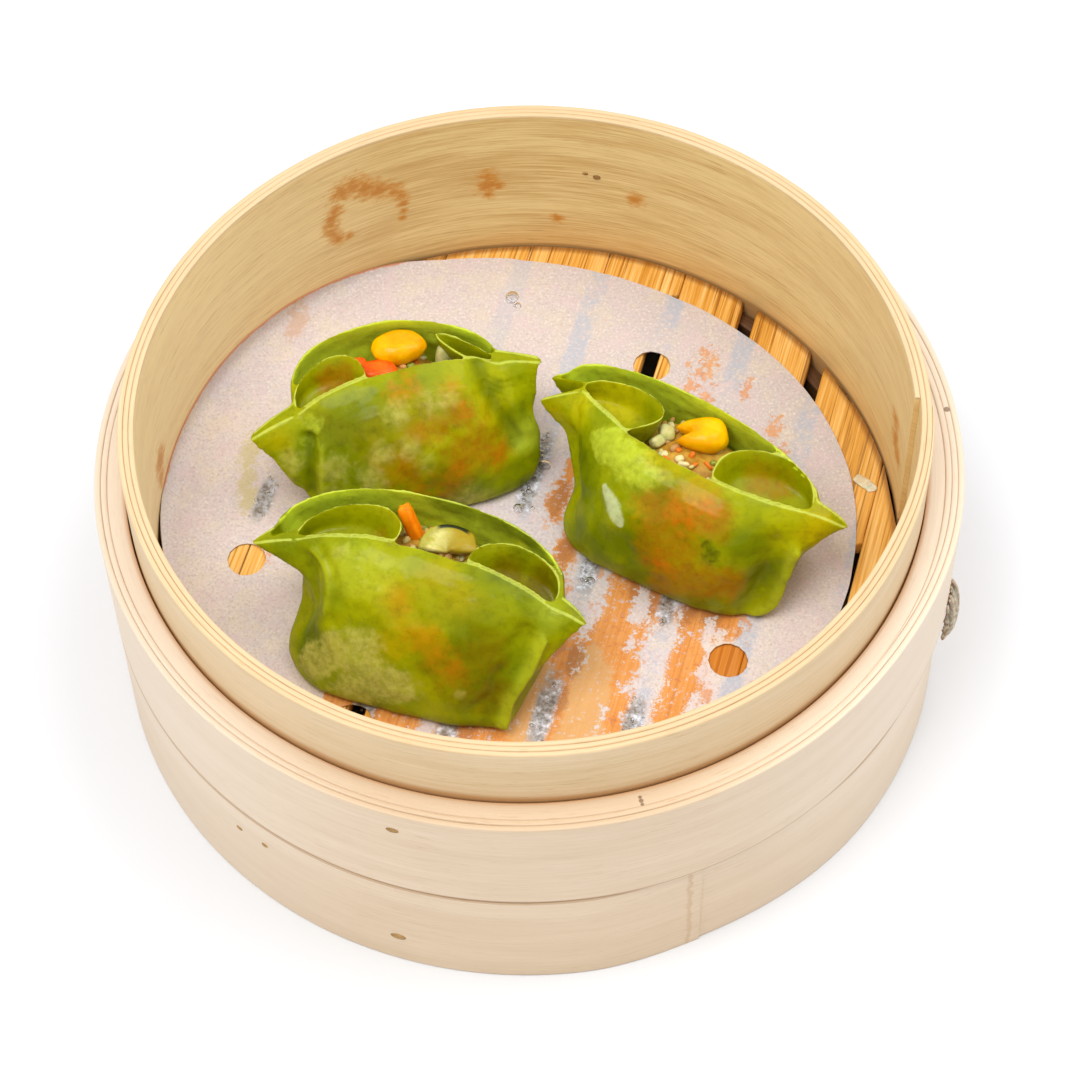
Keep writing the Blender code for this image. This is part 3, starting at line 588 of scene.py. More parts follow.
def wound_hoop(name, radius, strip, layers, bottom, top, start, overlap, material,
               replaces, seed, feather, taper=2.0):
    """A strip wound in layers, with rounded edges, an uneven top and a thinned outer end.

    A feathered inner end fills the wedge under the next layer.
    """
    facet = 360.0 / HOOP_SEGMENTS
    rings = []
    last = HOOP_SEGMENTS * layers + round(overlap / facet)
    first = -round(BEND_ANGLE / facet) if feather else 0
    for index in range(first, last + 1):
        turn, part = divmod(index, HOOP_SEGMENTS)
        bend = smooth_step((part * facet - (360.0 - BEND_ANGLE)) / BEND_ANGLE)
        opening = 1.0 if index >= 0 else max(bend, 0.08)
        if index < 0:
            turn, bend = 0, 0.0
        angle = math.radians(start + index * facet)
        spot = around(angle, 3.1, seed + turn * 7.3)
        rise = 0.22 * noise.noise(spot) + 0.07 * noise.noise(spot * 9.0)
        fall = 0.10 * noise.noise(spot * 2.0 + Vector((5.0, 0.0, 0.0)))
        thin = opening * (0.25 + 0.75 * smooth_step((last - index) * facet / taper))
        full = strip / 2 + 0.05
        half = full * thin
        middle = radius + strip / 2 + (turn + bend) * (strip + LAYER_SLIT) - full + half
        rings.append(hoop_section(angle, middle, half, bottom + max(fall, 0.0), top + rise,
                                  ROUNDED_EDGE * thin))
    return make_object(name, loft(rings), material, replaces, SHARP_ANGLE)


def plain_hoop(name, radius, width, bottom, top, material, replaces, seed):
    rings = []
    for angle in turns(HOOP_SEGMENTS):
        rise = 0.15 * noise.noise(around(angle, 4.0, seed))
        rings.append(hoop_section(angle, radius + width / 2, width / 2, bottom, top + rise,
                                  ROUNDED_EDGE))
    return make_object(name, loft(rings, closed=True), material, replaces, SHARP_ANGLE)


def board(name, reach, offset, width, thickness, top, turn, material, replaces, seed,
          slot=None):
    """A slat or batten cut to the round floor. A slot is cut into its right edge."""
    across, along = slat_axes(turn)
    half = width / 2
    ends = math.sqrt(max(reach ** 2 - min(abs(offset - half), abs(offset + half)) ** 2, 4.0))
    places = np.linspace(-ends, ends, 97)
    if slot:
        cuts = [cut + step for cut in slot for step in (-0.6, -0.3, 0.0, 0.3, 0.9, 1.8)]
        places = sorted([*places, *(cut for cut in cuts if abs(cut) < ends)])
    rings = []
    for place in places:
        notch = 0.0
        if slot:
            inside = min(place - slot[0], slot[1] - place)
            notch = SLOT_WIDTH * smooth_step((inside + 0.6) / 2.4)
        right = half - notch + 0.25 * noise.noise(Vector((place * 0.06, seed, 3.0)))
        edge, bevel = 0.25 + 0.35 * min(notch, 1.0), 0.5 + 0.9 * min(notch / SLOT_WIDTH, 1.0)
        section = [(-half, -thickness), (-half, -0.25), (-half + 0.25, 0.0)]
        section += [(mix(-half + 0.5, right - bevel, step / 6), 0.0) for step in range(7)]
        section += [(right - bevel * 0.3, -edge * 0.35), (right, -edge * 1.4),
                    (right, -thickness), (0.0, -thickness)]
        ring = []
        for side, down in section:
            wave = 0.12 * noise.noise(Vector((place * 0.05, side * 0.3 + seed * 5.0, seed)))
            lateral = offset + side
            point = across * lateral + along * place
            if point.length > reach:
                chord = math.sqrt(max(reach ** 2 - lateral ** 2, 0.0))
                lateral = min(max(lateral, -reach), reach)
                point = across * lateral + along * math.copysign(chord, place)
            ring.append((point.x, point.y, top + down + min(wave, 0.0)))
        rings.append(ring)
    return make_object(name, loft(rings), material, replaces, SHARP_ANGLE)


# Stains inside the wall and marks on the ledge. Stains have their angle, height and radius.
STAINS = [(119.7, 65.8, 3.4), (117.7, 65.8, 3.8), (115.6, 63.8, 3.6), (113.2, 61.6, 3.2),
          (110.8, 59.6, 2.6), (121.2, 60.4, 2.4), (122.1, 56.7, 2.4), (121.6, 52.8, 2.2),
          (109.6, 57.2, 1.8), (109.4, 54.8, 1.5), (109.4, 52.4, 1.2), (109.6, 50.0, 1.0),
          (121.9, 58.5, 2.2), (122.2, 54.8, 2.2), (121.0, 51.0, 2.0), (119.0, 50.4, 1.4),
          (95.3, 58.6, 2.4), (95.3, 55.6, 3.4), (95.3, 52.4, 1.6), (93.6, 55.0, 1.8),
          (71.3, 54.0, 2.2), (171.0, 45.0, 4.0), (172.0, 40.5, 2.6), (7.6, 49.1, 3.4),
          (8.8, 53.9, 2.8), (5.6, 47.0, 3.0), (84.0, 44.0, 1.8)]
MARKS = [(88.9, 9.5, 61.0, 0.8), (20.9, -82.9, 61.0, 0.5), (21.1, -83.7, 61.0, 0.6),
         (21.3, -84.5, 61.0, 0.5)]
# Where the slot in each slat's right edge starts and ends along the slat.
SLOTS = [(-11.0, 90.0), (-90.0, 66.0), (-90.0, 70.0), (-90.0, 70.5), (-90.0, 71.5),
         (-90.0, 90.0), (-6.0, 90.0), (-90.0, 14.4), None]


def build_basket():
    stains = [(*on_ring(angle, height, INNER_RADIUS), 1.5 * radius)
              for angle, height, radius in STAINS]
    wood = bamboo("bamboo_inner", (222, 198, 162), (204, 176, 132), stains=stains,
                  inside=((236, 208, 147), (208, 167, 102)), roughness=0.45)
    band = bamboo("bamboo_band", (223, 202, 176), (207, 182, 151), LEDGE_HEIGHT, marks=MARKS,
                  seam=-69.2)
    # Dark brown for the rest ring and battens: damp wood, and painted shade where they show through
    # the gaps in the floor.
    damp = bamboo("bamboo_damp_and_shaded", (112, 74, 40), (62, 38, 18))
    wound_hoop("steamer_inner_hoop", INNER_RADIUS, INNER_STRIP, 3, INNER_BOTTOM, RIM_HEIGHT, 0.0,
               -1.5, wood, ["inner_hoop"], 1.0, False, BEND_ANGLE)
    wound_hoop("steamer_upper_band", BAND_RADIUS, BAND_STRIP, 2, SEAM_HEIGHT + JOINT_GAP,
               LEDGE_HEIGHT, -10.0, 165.0, band, ["band_upper"], 2.0, True)
    wound_hoop("steamer_lower_band", BAND_RADIUS, BAND_STRIP, 2, 0.0, SEAM_HEIGHT - JOINT_GAP,
               -37.5, -BEND_ANGLE, band, ["band_lower"], 3.0, True, 16.0)
    plain_hoop("steamer_ledge", LEDGE_RADIUS, BAND_RADIUS - 0.03 - LEDGE_RADIUS, INNER_BOTTOM,
               LEDGE_HEIGHT - 0.2, band, ["ledge_ring"], 4.0)
    plain_hoop("steamer_rest_ring", REST_RADIUS, REST_WIDTH, INNER_BOTTOM, REST_TOP, damp,
               ["rest_ring"], 5.0)
    slat = slat_material()
    for index, slot in enumerate(SLOTS):
        board(f"steamer_slat_{index + 1}", SLAT_REACH, FIRST_SLAT + index * SLAT_PITCH,
              SLAT_PITCH - JOINT_GAP, SLAT_THICKNESS, FLOOR_TOP, SLAT_TURN, slat,
              [f"slat_{index + 1}"], index + 1.0, slot)
    for index, (side, solid) in enumerate(((-1, "batten_front"), (1, "batten_back"))):
        board(f"steamer_batten_{index + 1}", BATTEN_REACH, side * BATTEN_OFFSET, BATTEN_WIDTH,
              BATTEN_THICKNESS, REST_TOP, SLAT_TURN - 90.0, damp, [solid], 20.0 + index)


def build_nails():
    head = morsel_material("nail_head", (178, 142, 90), (128, 92, 50), 1500.0, 0.6)
    for name, angle, height, width, tall in (
            ("upper", -107.7, 55.0, 1.35, 0.85), ("lower", -108.4, 10.0, 1.7, 1.15),
            ("side_a", -132.4, 23.2, 0.85, 0.6), ("side_b", -127.9, 23.9, 0.85, 0.6)):
        lump = ellipsoid(on_ring(angle, height, OUTER_RADIUS + 0.02), (0.28, width, tall),
                         (0, 0, angle), (20, 10))
        make_object(f"steamer_nail_{name}", lump, head, [f"nail_{name}"])
    inner = on_ring(77.7, 59.1, INNER_RADIUS)
    peg = [ellipsoid(inner, (0.5, 0.9, 0.7), (0, 0, 77.7)),
           ellipsoid(inner + Vector((-2.6, 0.4, 0.8)), (0.3, 0.7, 0.35), (0, 0, 77.7))]
    make_object("steamer_peg_end", merge(peg), head)


def tube(path, radii, sides):
    """Rings round a path, each turned square to it."""
    rings = []
    for index, point in enumerate(path):
        before, after = path[max(index - 1, 0)], path[min(index + 1, len(path) - 1)]
        turn = (after - before).to_track_quat("Z", "Y").to_matrix()
        rings.append([point + turn @ around(angle) * radii[index] for angle in turns(sides)])
    return loft(rings)


def build_lacing():
    """A frayed lump of rattan strands tied over the joint of the bands."""
    parts = []
    for strand in range(LACING_STRANDS):
        side = 2.0 * strand / (LACING_STRANDS - 1) - 1.0
        jitter = noise.noise(Vector((strand * 1.7, 3.1, 0.4)))
        path, radii = [], []
        top, bottom = 41.0 - 5.5 * abs(side) + 2.0 * jitter, 17.5 + 4.5 * abs(side) - jitter
        for t in [0.0] + shares(LACING_STEPS):
            bulge = math.sin(math.pi * t) ** 0.7
            wander = 0.9 * noise.noise(Vector((strand * 3.3, t * 3.0, 7.0)))
            out = OUTER_RADIUS + 1.5 + (0.5 + 1.4 * (1 - side * side)) * bulge
            path.append(on_ring(-12.8 + 1.75 * side * (0.75 + 0.25 * t) + wander,
                                mix(bottom, top, t), out + 0.4 * jitter))
            radii.append(0.62 * (0.35 + 0.65 * math.sin(math.pi * min(max(t, 0.08), 0.92))))
        parts.append(tube(path, radii, 7))
    rattan = morsel_material("rattan_strand", (206, 190, 168), (140, 124, 102), 900.0, 0.75)
    make_object("steamer_lacing", merge(parts), rattan,
                ["lacing_1", "lacing_2", "lacing_3"])


# The paper liner.
def liner_reach(angle):
    """How far the flat sheet reaches from the basket's middle, in millimetres."""
    ragged = 0.2 * noise.noise(around(angle, 9.0, 2.0))
    return 75.0 + 5.3 * math.cos(angle - 2.77) + 1.75 * math.cos(2 * angle + 1.47) \
        + 1.85 * math.cos(3 * angle - 1.14) + ragged


def flat_liner():
    """The punched sheet before it is laid in: its points and faces in the plane."""
    loops = [[around(angle).xy * liner_reach(angle) for angle in turns(LINER_SPOKES)]]
    middles = []
    for hole in range(HOLE_COUNT):
        way = around(math.radians(FIRST_HOLE + hole * 360.0 / HOLE_COUNT)).xy
        middle = Vector(HOLE_RING_CENTRE) + way * HOLE_RING_RADIUS
        middles.append(middle + Vector(UNEVEN_HOLES.get(hole, (0.0, 0.0))))
        loops.append([middles[-1] + around(-angle).xy * HOLE_RADIUS
                      for angle in turns(HOLE_STEPS)])
    points, edges = [], []
    for loop in loops:
        base = len(points)
        points += loop
        edges += [(base + index, base + (index + 1) % len(loop)) for index in range(len(loop))]

    def clear(point, distance):
        return all((point - middle).length > distance for middle in middles)

    for row in range(-76, 77):
        for column in range(-66, 67):
            point = Vector(((column + 0.5 * (row % 2)) * LINER_MESH, row * LINER_MESH * 0.87))
            reach = liner_reach(math.atan2(point.y, point.x))
            if clear(point, HOLE_RADIUS + 0.7) and point.length < reach - 0.7:
                points.append(point)
    flat, _, faces, _, _, _ = delaunay_2d_cdt(points, edges, [], 1, 0.0001)
    kept = [tuple(face) for face in faces
            if clear(sum((flat[index] for index in face), Vector((0.0, 0.0))) / len(face),
                     HOLE_RADIUS * 0.98)]
    return flat, kept


def build_liner():
    """Thin damp paper with punched holes: it dips over the slots and curls up the wall."""
    flat, kept = flat_liner()
    across = slat_axes(SLAT_TURN)[0].xy
    top, low, rim = [], [], []
    start = INNER_RADIUS - LINER_CLEARANCE - LINER_BEND
    for point in flat:
        slot = (point @ across - SLOT_OFFSET) / SLAT_PITCH
        dip = math.exp(-((slot - round(slot)) * SLAT_PITCH / LINER_DIP_WIDTH) ** 2)
        cockle = noise.noise(Vector((point.x * 0.07, point.y * 0.07, 1.0)))
        height = PAPER_TOP - LINER_DIP * dip + LINER_COCKLE * (cockle - 1.0)
        reach = point.length
        way = (point / max(reach, 1.0)).to_3d()
        tilt = min(max(reach - start, 0.0) / LINER_BEND, math.pi / 2)
        rise = LINER_BEND * (1 - math.cos(tilt)) \
            + max(reach - start - LINER_BEND * math.pi / 2, 0.0)
        out = reach if reach < start else start + LINER_BEND * math.sin(tilt)
        top.append(way * out + up(height + rise))
        low.append(top[-1] + (way * math.sin(tilt) - up(math.cos(tilt))) * LINER_THICKNESS)
        # The edge is brown where it touches the wall.
        angle = math.degrees(math.atan2(point.y, point.x))
        touch = smooth_step((angle - 104.0) / 8.0) * smooth_step((178.0 - angle) / 8.0)
        at_edge = liner_reach(math.radians(angle)) - point.length < 0.05
        rim.append(touch if at_edge else 0.0)
    count = len(top)
    borders = dict.fromkeys((first, second) for face in kept
                            for first, second in zip(face, face[1:] + face[:1]))
    sides = [(a + count, b + count, b, a) for a, b in borders if (b, a) not in borders]
    faces = kept + [tuple(index + count for index in reversed(face)) for face in kept] + sides
    liner = make_object("steamer_liner", (top + low, faces), paper_material(),
                        ["liner"], sharp=60)
    liner.data.attributes.new("rim", "FLOAT", "POINT").data.foreach_set("value", rim + rim)


# The dumplings: sizes in millimetres and steps of the folded sheet.
WRAPPER = 1.3
WRAPPER_LIFT = 0.65
WALL_STEPS = 34
EAR_STEPS = 9
FLAP_STEPS = 12
POCKET_STEPS = 26
FLOOR_RINGS = (0.25, 0.5, 0.75)
WRAPPER_ROWS = 26
VOXEL = 0.48
POCKET_DEPTH = 4
POCKET_SAG = 1.5
FLAP_DEPTH = 0.72
FILLING_RISE = 3.0
RIM_THINNING = 0.27
RIM_HIGHLIGHT_WIDTH = 1.3
IN_EAR = 0.9
DOUGH_GAP = 0.9
BIT_COUNT = 60
BIT_ROOM = 1.6
BIT_COLOURS = [(232, 118, 24), (216, 196, 120), (150, 160, 60), (190, 140, 80), (236, 220, 160),
               (214, 160, 90)]

# What the three folds have in common, then each fold in its dumpling's own axes: tips of the
# ears, roots where the ears start, the rear sheet, and the pockets between ears and middle.
FOLD = dict(
    corner=45.0, base_power=4.0, flare=5.0, front_power=2.5, rear_power=2.6, rear_skew=0.0,
    ear_arch=0.3, pocket_rise=0.5, ear_open_left=0.0, ear_open_right=0.0,
    lean_front=(0.0, -15.0, -5.0), lean_root=(-2.0, -9.0, -8.0), lean_landing=(5.0, -1.0, -13.0),
    lean_pocket=(3.0, -5.0, -13.0), lean_rear=(0.0, 3.0, -11.0),
)
DUMPLINGS = {
    "front": dict(
        FOLD, centre=(-22.7, -29.3), turn=-17.6,
        base=(22.8, 14.5), base_shift=(-0.7, -2.5),
        lean_tip_left=(-13.0, 0.0, -2.0), lean_tip_right=(-9.0, -3.0, -5.0),
        tip_left=(-36.4, 0.0, 22.0), tip_right=(36.4, 0.0, 22.0),
        root_left=(-27.0, 3.6, 24.5), root_right=(28.5, 2.5, 24.0),
        rear_left=(-32.5, 1.8, 23.5), rear_right=(30.0, 1.6, 24.0),
        front_in=2.5, front_up=5.0, rear_out=14.0, rear_up=4.0,
        landing_left=-5.6, landing_right=9.4,
        pocket_left=(8.4, 2.0, 0.9), pocket_right=(7.5, 1.2, 0.9)),
    "back": dict(
        FOLD, centre=(-27.1, 18.8), turn=15.8,
        base=(23.5, 13.0), base_shift=(3.5, -2.5),
        lean_tip_left=(-7.0, -3.0, -6.0), lean_tip_right=(-4.0, -7.0, -8.0),
        tip_left=(-33.0, 0.0, 20.0), tip_right=(33.0, 0.0, 22.0),
        root_left=(-21.5, 2.6, 23.5), root_right=(21.5, 2.6, 25.0),
        rear_left=(-22.0, 2.0, 23.0), rear_right=(23.0, 1.8, 25.0),
        front_in=1.5, front_up=4.5, rear_out=13.0, rear_up=3.5, rear_skew=-0.3,
        landing_left=-5.7, landing_right=15.5,
        pocket_left=(8.2, 0.8, 0.9), pocket_right=(8.0, -6.5, 1.0)),
    "right": dict(
        FOLD, centre=(35.1, 0.8), turn=-28.4,
        base=(22.5, 13.5), base_shift=(0.5, -5.5),
        lean_tip_left=(-4.5, -0.5, -8.0), lean_tip_right=(-10.0, -3.0, -3.0),
        tip_left=(-36.4, 2.5, 22.0), tip_right=(36.4, 0.0, 20.0), ear_open_left=6.0,
        root_left=(-27.5, 4.8, 26.0), root_right=(27.5, -1.2, 24.0),
        rear_left=(-34.0, 5.4, 23.0), rear_right=(28.6, -1.4, 24.0),
        front_in=-6.0, front_up=2.5, rear_out=7.0, rear_up=4.0, rear_skew=-0.15,
        landing_left=-13.5, landing_right=6.8,
        pocket_left=(5.5, 9.5, 0.8), pocket_right=(9.2, -2.8, 0.85)),
}


def fold_columns(fold):
    """Walk once round the wrapper's edge, counter-clockwise seen from above.

    Each column gives the angle of its foot on the base, its point on the edge, the handle
    that says how the sheet comes up to the edge, and 1 where it is part of a pocket.
    """
    corner = math.radians(fold["corner"])
    roots, rears, tips = ({1: Vector(fold[part + "_right"]), -1: Vector(fold[part + "_left"])}
                          for part in ("root", "rear", "tip"))

    def depth(amount):
        return Vector((0.0, amount * WRAPPER, 0.0))

    def lean(name, x_scale=1.0, y_scale=1.0):
        x, y, z = fold["lean_" + name]
        return Vector((x * x_scale, y * y_scale, z))

    def front(t):
        rise = 1.0 - abs(t) ** fold["front_power"]
        return mix(roots[-1], roots[1], (t + 1) / 2) + depth(-1.5) + Vector(
            (0.0, fold["front_in"] * rise, fold["front_up"] * rise))

    def front_at(x):
        return front(2 * (x - roots[-1].x) / (roots[1].x - roots[-1].x) - 1)

    def rear(t):
        skewed = abs(t - fold["rear_skew"] * (1 - t * t))
        bow = math.sqrt(max(0.0, 1 - skewed ** fold["rear_power"]))
        return mix(rears[-1], rears[1], (t + 1) / 2) + depth(1.5) + Vector(
            (0.0, fold["rear_out"] * bow, fold["rear_up"] * (1 - t * t)))

    def ear(side):
        """Front sheet out to the tip, pocket back and round, rear sheet out and back."""
        name = "right" if side > 0 else "left"
        root, rear_root, tip = roots[side], rears[side], tips[side]
        spread = Vector((0.0, fold["ear_open_" + name] / 2, 0.0))
        tall, skew, fullness = fold["pocket_" + name]
        landing = front_at(fold["landing_" + name]) + depth(FLAP_DEPTH)
        lean_in, lean_tip = lean("landing", side), lean("tip_" + name, side)
        lean_back, lean_shut = lean("tip_" + name, side, -1), lean("landing", 0.3 * side)
        found = []

        def run(start, end, angles, leans, pocket):
            for t in shares(EAR_STEPS):
                arch = up(fold["ear_arch"] * math.sin(math.pi * t))
                found.append((corner * mix(*angles, t), mix(start, end, t) + arch,
                              mix(*leans, t), pocket))

        run(root + depth(-1.5), tip + depth(-0.45) - spread, (-1.25, -1.0),
            (lean("root", side), lean_tip), 0.0)
        run(tip + depth(-0.15) - spread, root + depth(-0.5), (-1.0, -0.75),
            (lean_tip, lean_shut), IN_EAR)
        for t in shares(FLAP_STEPS):
            point = front_at(mix(root.x, fold["landing_" + name], t)) + depth(FLAP_DEPTH)
            found.append((-corner * mix(0.75, 0.3, t), point, mix(lean_shut, lean_in, t), 1.0))
        for t in shares(POCKET_STEPS):
            swell = math.sin(math.pi * t)
            point = mix(landing, root + depth(0.5), (1 - math.cos(math.pi * t)) / 2)
            point += Vector((skew * swell, tall * swell ** fullness, fold["pocket_rise"] * swell))
            tilt = mix(mix(lean_in, lean_shut, t), lean("pocket", side), swell)
            found.append((corner * mix(-0.3, 0.75, t), point, tilt, 1.0))
        run(root + depth(0.5), tip + depth(0.15) + spread, (0.75, 1.0),
            (lean_shut, lean_back), IN_EAR)
        run(tip + depth(0.45) + spread, rear_root + depth(1.5), (1.0, 1.25),
            (lean_back, lean("rear", side)), 0.0)
        return found

    columns = []
    for share in [0.0] + shares(WALL_STEPS):
        t = 2 * share - 1
        angle = mix(1.25 * corner - math.pi, -1.25 * corner, share)
        tilt = mix(lean("root", t), lean("front"), 1 - abs(t) ** 3)
        columns.append((angle, front(t), tilt, 0.0))
    columns += ear(1)
    for share in shares(WALL_STEPS):
        t = 1 - 2 * share
        angle = mix(math.pi - 1.25 * corner, 1.25 * corner, (t + 1) / 2)
        columns.append((angle, rear(t), lean("rear", t), 0.0))
    columns += [(math.pi - angle, point, tilt, pocket)
                for angle, point, tilt, pocket in reversed(ear(-1)[:-1])]
    return columns


def base_point(fold, angle):
    """A point of the squarish flat base."""
    c, s = math.cos(angle), math.sin(angle)
    power = fold["base_power"]
    size = (abs(c) ** power + abs(s) ** power) ** (-1.0 / power)
    return Vector((fold["base"][0] * size * c, fold["base"][1] * size * s, 0.0))


def dumpling_matrix(name):
    fold = DUMPLINGS[name]
    turn = Matrix.Rotation(math.radians(fold["turn"]), 4, "Z")
    return Matrix.Translation((*fold["centre"], PAPER_TOP + WRAPPER_LIFT)) @ turn


def wrapper_sheet(fold):
    """Rows of (point, share of the way up, pocket) from the base's middle to the edge."""
    shift = Vector((*fold["base_shift"], 0.0))
    columns = fold_columns(fold)
    rows = [[(base_point(fold, column[0]) * scale + shift, 0.0, 0.0) for column in columns]
            for scale in FLOOR_RINGS]
    for v in [0.0] + shares(WRAPPER_ROWS):
        ring = []
        for angle, edge, tilt, pocket in columns:
            foot = base_point(fold, angle) + shift
            out = around(angle, 1.0, 0.25) * fold["flare"]
            point = (foot * (1 - v) ** 3 + (foot + out) * (3 * v * (1 - v) ** 2)
                     + (edge + tilt) * (3 * v * v * (1 - v)) + edge * v ** 3)
            ring.append((point, v, pocket))
        rows.append(ring)
    return shift, rows


def pocket_floors(rows):
    """Patches that close the pockets a little below their rims."""
    count = len(rows[0])
    first = WALL_STEPS + 2 * EAR_STEPS
    last = count - 2 * EAR_STEPS + 1
    length = FLAP_STEPS + POCKET_STEPS + 1
    level = rows[-1 - POCKET_DEPTH]
    patches = []
    for loop in (range(first, first + length), range(last, last - length, -1)):
        ring = [level[index % count][0] for index in loop]
        middle = sum(ring, Vector((0.0, 0.0, 0.0))) / length
        points = [mix(point, middle, share) - up(POCKET_SAG * share)
                  for share in (0.0, 0.25, 0.5, 0.75) for point in ring]
        points.append(middle - up(POCKET_SAG))
        faces = []
        for index in range(length):
            after = (index + 1) % length
            for row in range(3):
                faces.append((row * length + index, row * length + after,
                              (row + 1) * length + after, (row + 1) * length + index))
            faces.append((3 * length + index, 3 * length + after, 4 * length))
        patches.append((points, faces))
    return patches


def draft_wrapper(name, shift, rows, place):
    """The folded sheet as one surface, with its share of the full thickness at each point."""
    entries = [entry for row in rows for entry in row]
    points = [place @ shift] + [place @ entry[0] for entry in entries]
    weights = [1.0] + [1.0 - 0.32 * smooth_step(entry[1] * 4.0 - 3.0) for entry in entries]
    count = len(rows[0])
    faces = []
    for index in range(count):
        following = (index + 1) % count
        faces.append((0, 1 + following, 1 + index))
        for row in range(len(rows) - 1):
            low, high = 1 + row * count, 1 + (row + 1) * count
            faces.append((low + index, low + following, high + following, high + index))
    for patch_points, patch_faces in pocket_floors(rows):
        base = len(points)
        points += [place @ point for point in patch_points]
        weights += [0.9] * len(patch_points)
        faces += [tuple(base + index for index in face) for face in patch_faces]
    mesh = bpy.data.meshes.new(name)
    mesh.from_pydata([tuple(point * MM) for point in points], [], faces)
    draft = bpy.data.objects.new(name + "_draft", mesh)
    bpy.context.scene.collection.objects.link(draft)
    group = draft.vertex_groups.new(name="thickness")
    for index, weight in enumerate(weights):
        group.add([index], weight, "REPLACE")
    return draft


def fuse_layers(draft):
    """Give the sheet its thickness and fuse its layers where they touch."""
    solid = draft.modifiers.new("thickness", "SOLIDIFY")
    solid.thickness = WRAPPER * MM
    solid.offset = 0.0
    solid.vertex_group = "thickness"
    remesh = draft.modifiers.new("fuse_layers", "REMESH")
    remesh.mode = "VOXEL"
    remesh.voxel_size = VOXEL * MM
    soften = draft.modifiers.new("smooth", "SMOOTH")
    soften.iterations = 6
    soften.factor = 0.5
    graph = bpy.context.evaluated_depsgraph_get()
    wrapper = bpy.data.meshes.new_from_object(draft.evaluated_get(graph))
    bpy.data.objects.remove(draft)
    wrapper.materials.clear()
    return wrapper


def tree_of(points):
    tree = KDTree(len(points))
    for index, point in enumerate(points):
        tree.insert(point, index)
    tree.balance()
    return tree


def edge_tree(entries, place):
    """Points close together along an edge of the sheet, for finding the nearest."""
    edge = [place @ entry[0] for entry in entries]
    return tree_of([mix(first, second, share) for first, second in zip(edge, edge[1:])
                    for share in (0.0, 0.25, 0.5, 0.75) if (second - first).length < 5.0])


def segment_distance(points, first, second):
    """Distance of each point to the line between two points."""
    way = second - first
    share = np.clip((points - first) @ way / max(way @ way, 1e-9), 0.0, 1.0)
    return np.linalg.norm(points - first - share[:, None] * way, axis=1)


def shape_wrapper(wrapper, fold, rows, place, seed):
    """Roughen the dough and thin its rim. Gives the moved points and the marks on them."""
    # The nearest point of the sheet says how far up it is, and whether in a pocket.
    entries = [entry for row in rows for entry in row]
    tree = tree_of([place @ entry[0] for entry in entries])
    border_tree = edge_tree(rows[-1], place)
    crest_tree = edge_tree([entry for entry in rows[-1] if entry[2] != IN_EAR], place)
    to_local, to_local_way = place.inverted(), place.to_3x3().inverted()
    left, right = Vector(fold["root_left"]), Vector(fold["root_right"])
    count = len(wrapper.vertices)
    marks = {name: np.zeros(count, np.float32) for name in ("rim", "inner", "pocket", "fold_light_and_shade")}
    moved = np.zeros((count, 3))
    for index, vertex in enumerate(wrapper.vertices):
        point = vertex.co / MM
        _, v, within = entries[tree.find(point)[1]]
        local = to_local @ point
        t = 2.0 * (local.x - left.x) / (right.x - left.x) - 1.0
        crest = mix(left.y, right.y, (t + 1.0) / 2.0) + fold["front_in"] * (1.0 - min(t * t, 1.0))
        # inner: the rear sheet's inner face, which the dough material makes lighter as painted
        # light.
        facing = smooth_step(-2.5 * (to_local_way @ vertex.normal).y) * (1.0 - within)
        marks["inner"][index] = facing * smooth_step(v * 5.0 - 2.0) \
            * smooth_step((local.y - crest - 1.0) / 2.0)
        marks["pocket"][index] = within
        # rim: where the painted highlight along the crest falls.
        marks["rim"][index] = max(0.0, 1.0 - crest_tree.find(point)[2] / RIM_HIGHLIGHT_WIDTH)
        reach = border_tree.find(point)[2]
        calm = smooth_step(v * 5.0) * smooth_step((1.0 - v) * 4.0)
        lump = noise.noise(point * 0.11 + Vector((seed, 0.0, 0.0))) * 0.7 \
            + noise.noise(point * 0.33 + Vector((0.0, seed, 0.0))) * 0.3
        wave = noise.noise(point * 0.16 + Vector((0.0, 0.0, seed))) * 0.35
        amount = lump * calm * (0.3 if within else 1.0) + wave * smooth_step(v * 4.0 - 3.0)
        amount -= RIM_THINNING * smooth_step(1.0 - (reach - 0.4) / 2.6)
        moved[index] = np.array(point) + np.array(vertex.normal) * amount
    return moved, marks


def build_wrapper(name, fold, material, seed, creases):
    place = dumpling_matrix(name)
    shift, rows = wrapper_sheet(fold)
    name = f"dumpling_{name}_wrapper"
    wrapper = fuse_layers(draft_wrapper(name, shift, rows, place))
    wrapper.materials.append(material)
    moved, marks = shape_wrapper(wrapper, fold, rows, place, seed)
    pushed = moved.copy()
    for line, push, width, light in creases:
        line = [np.array(point, float) for point in line]
        away = np.min([segment_distance(moved, *pair) for pair in zip(line, line[1:])], axis=0)
        near = np.exp(-(away / width) ** 2)
        pushed += near[:, None] * np.array(push)
        # Painted light along the fold, painted shade where the amount is below 0.
        marks["fold_light_and_shade"] += light * near
    wrapper.vertices.foreach_set("co", (pushed * MM).ravel())
    for key, values in marks.items():
        wrapper.attributes.new(key, "FLOAT", "POINT").data.foreach_set("value", values)
    wrapper.update()
    add_object(name, wrapper, [name])
    return wrapper


# The filling.
def add_morsel(kind, name, material, *parts):
    """A piece of filling that shows in a dumpling's opening."""
    place = dumpling_matrix(name)
    points, faces = merge(parts)
    make_object(f"{kind}_{name}", ([place @ Vector(point) for point in points], faces),
                material, [f"dumpling_{name}_{kind}"])


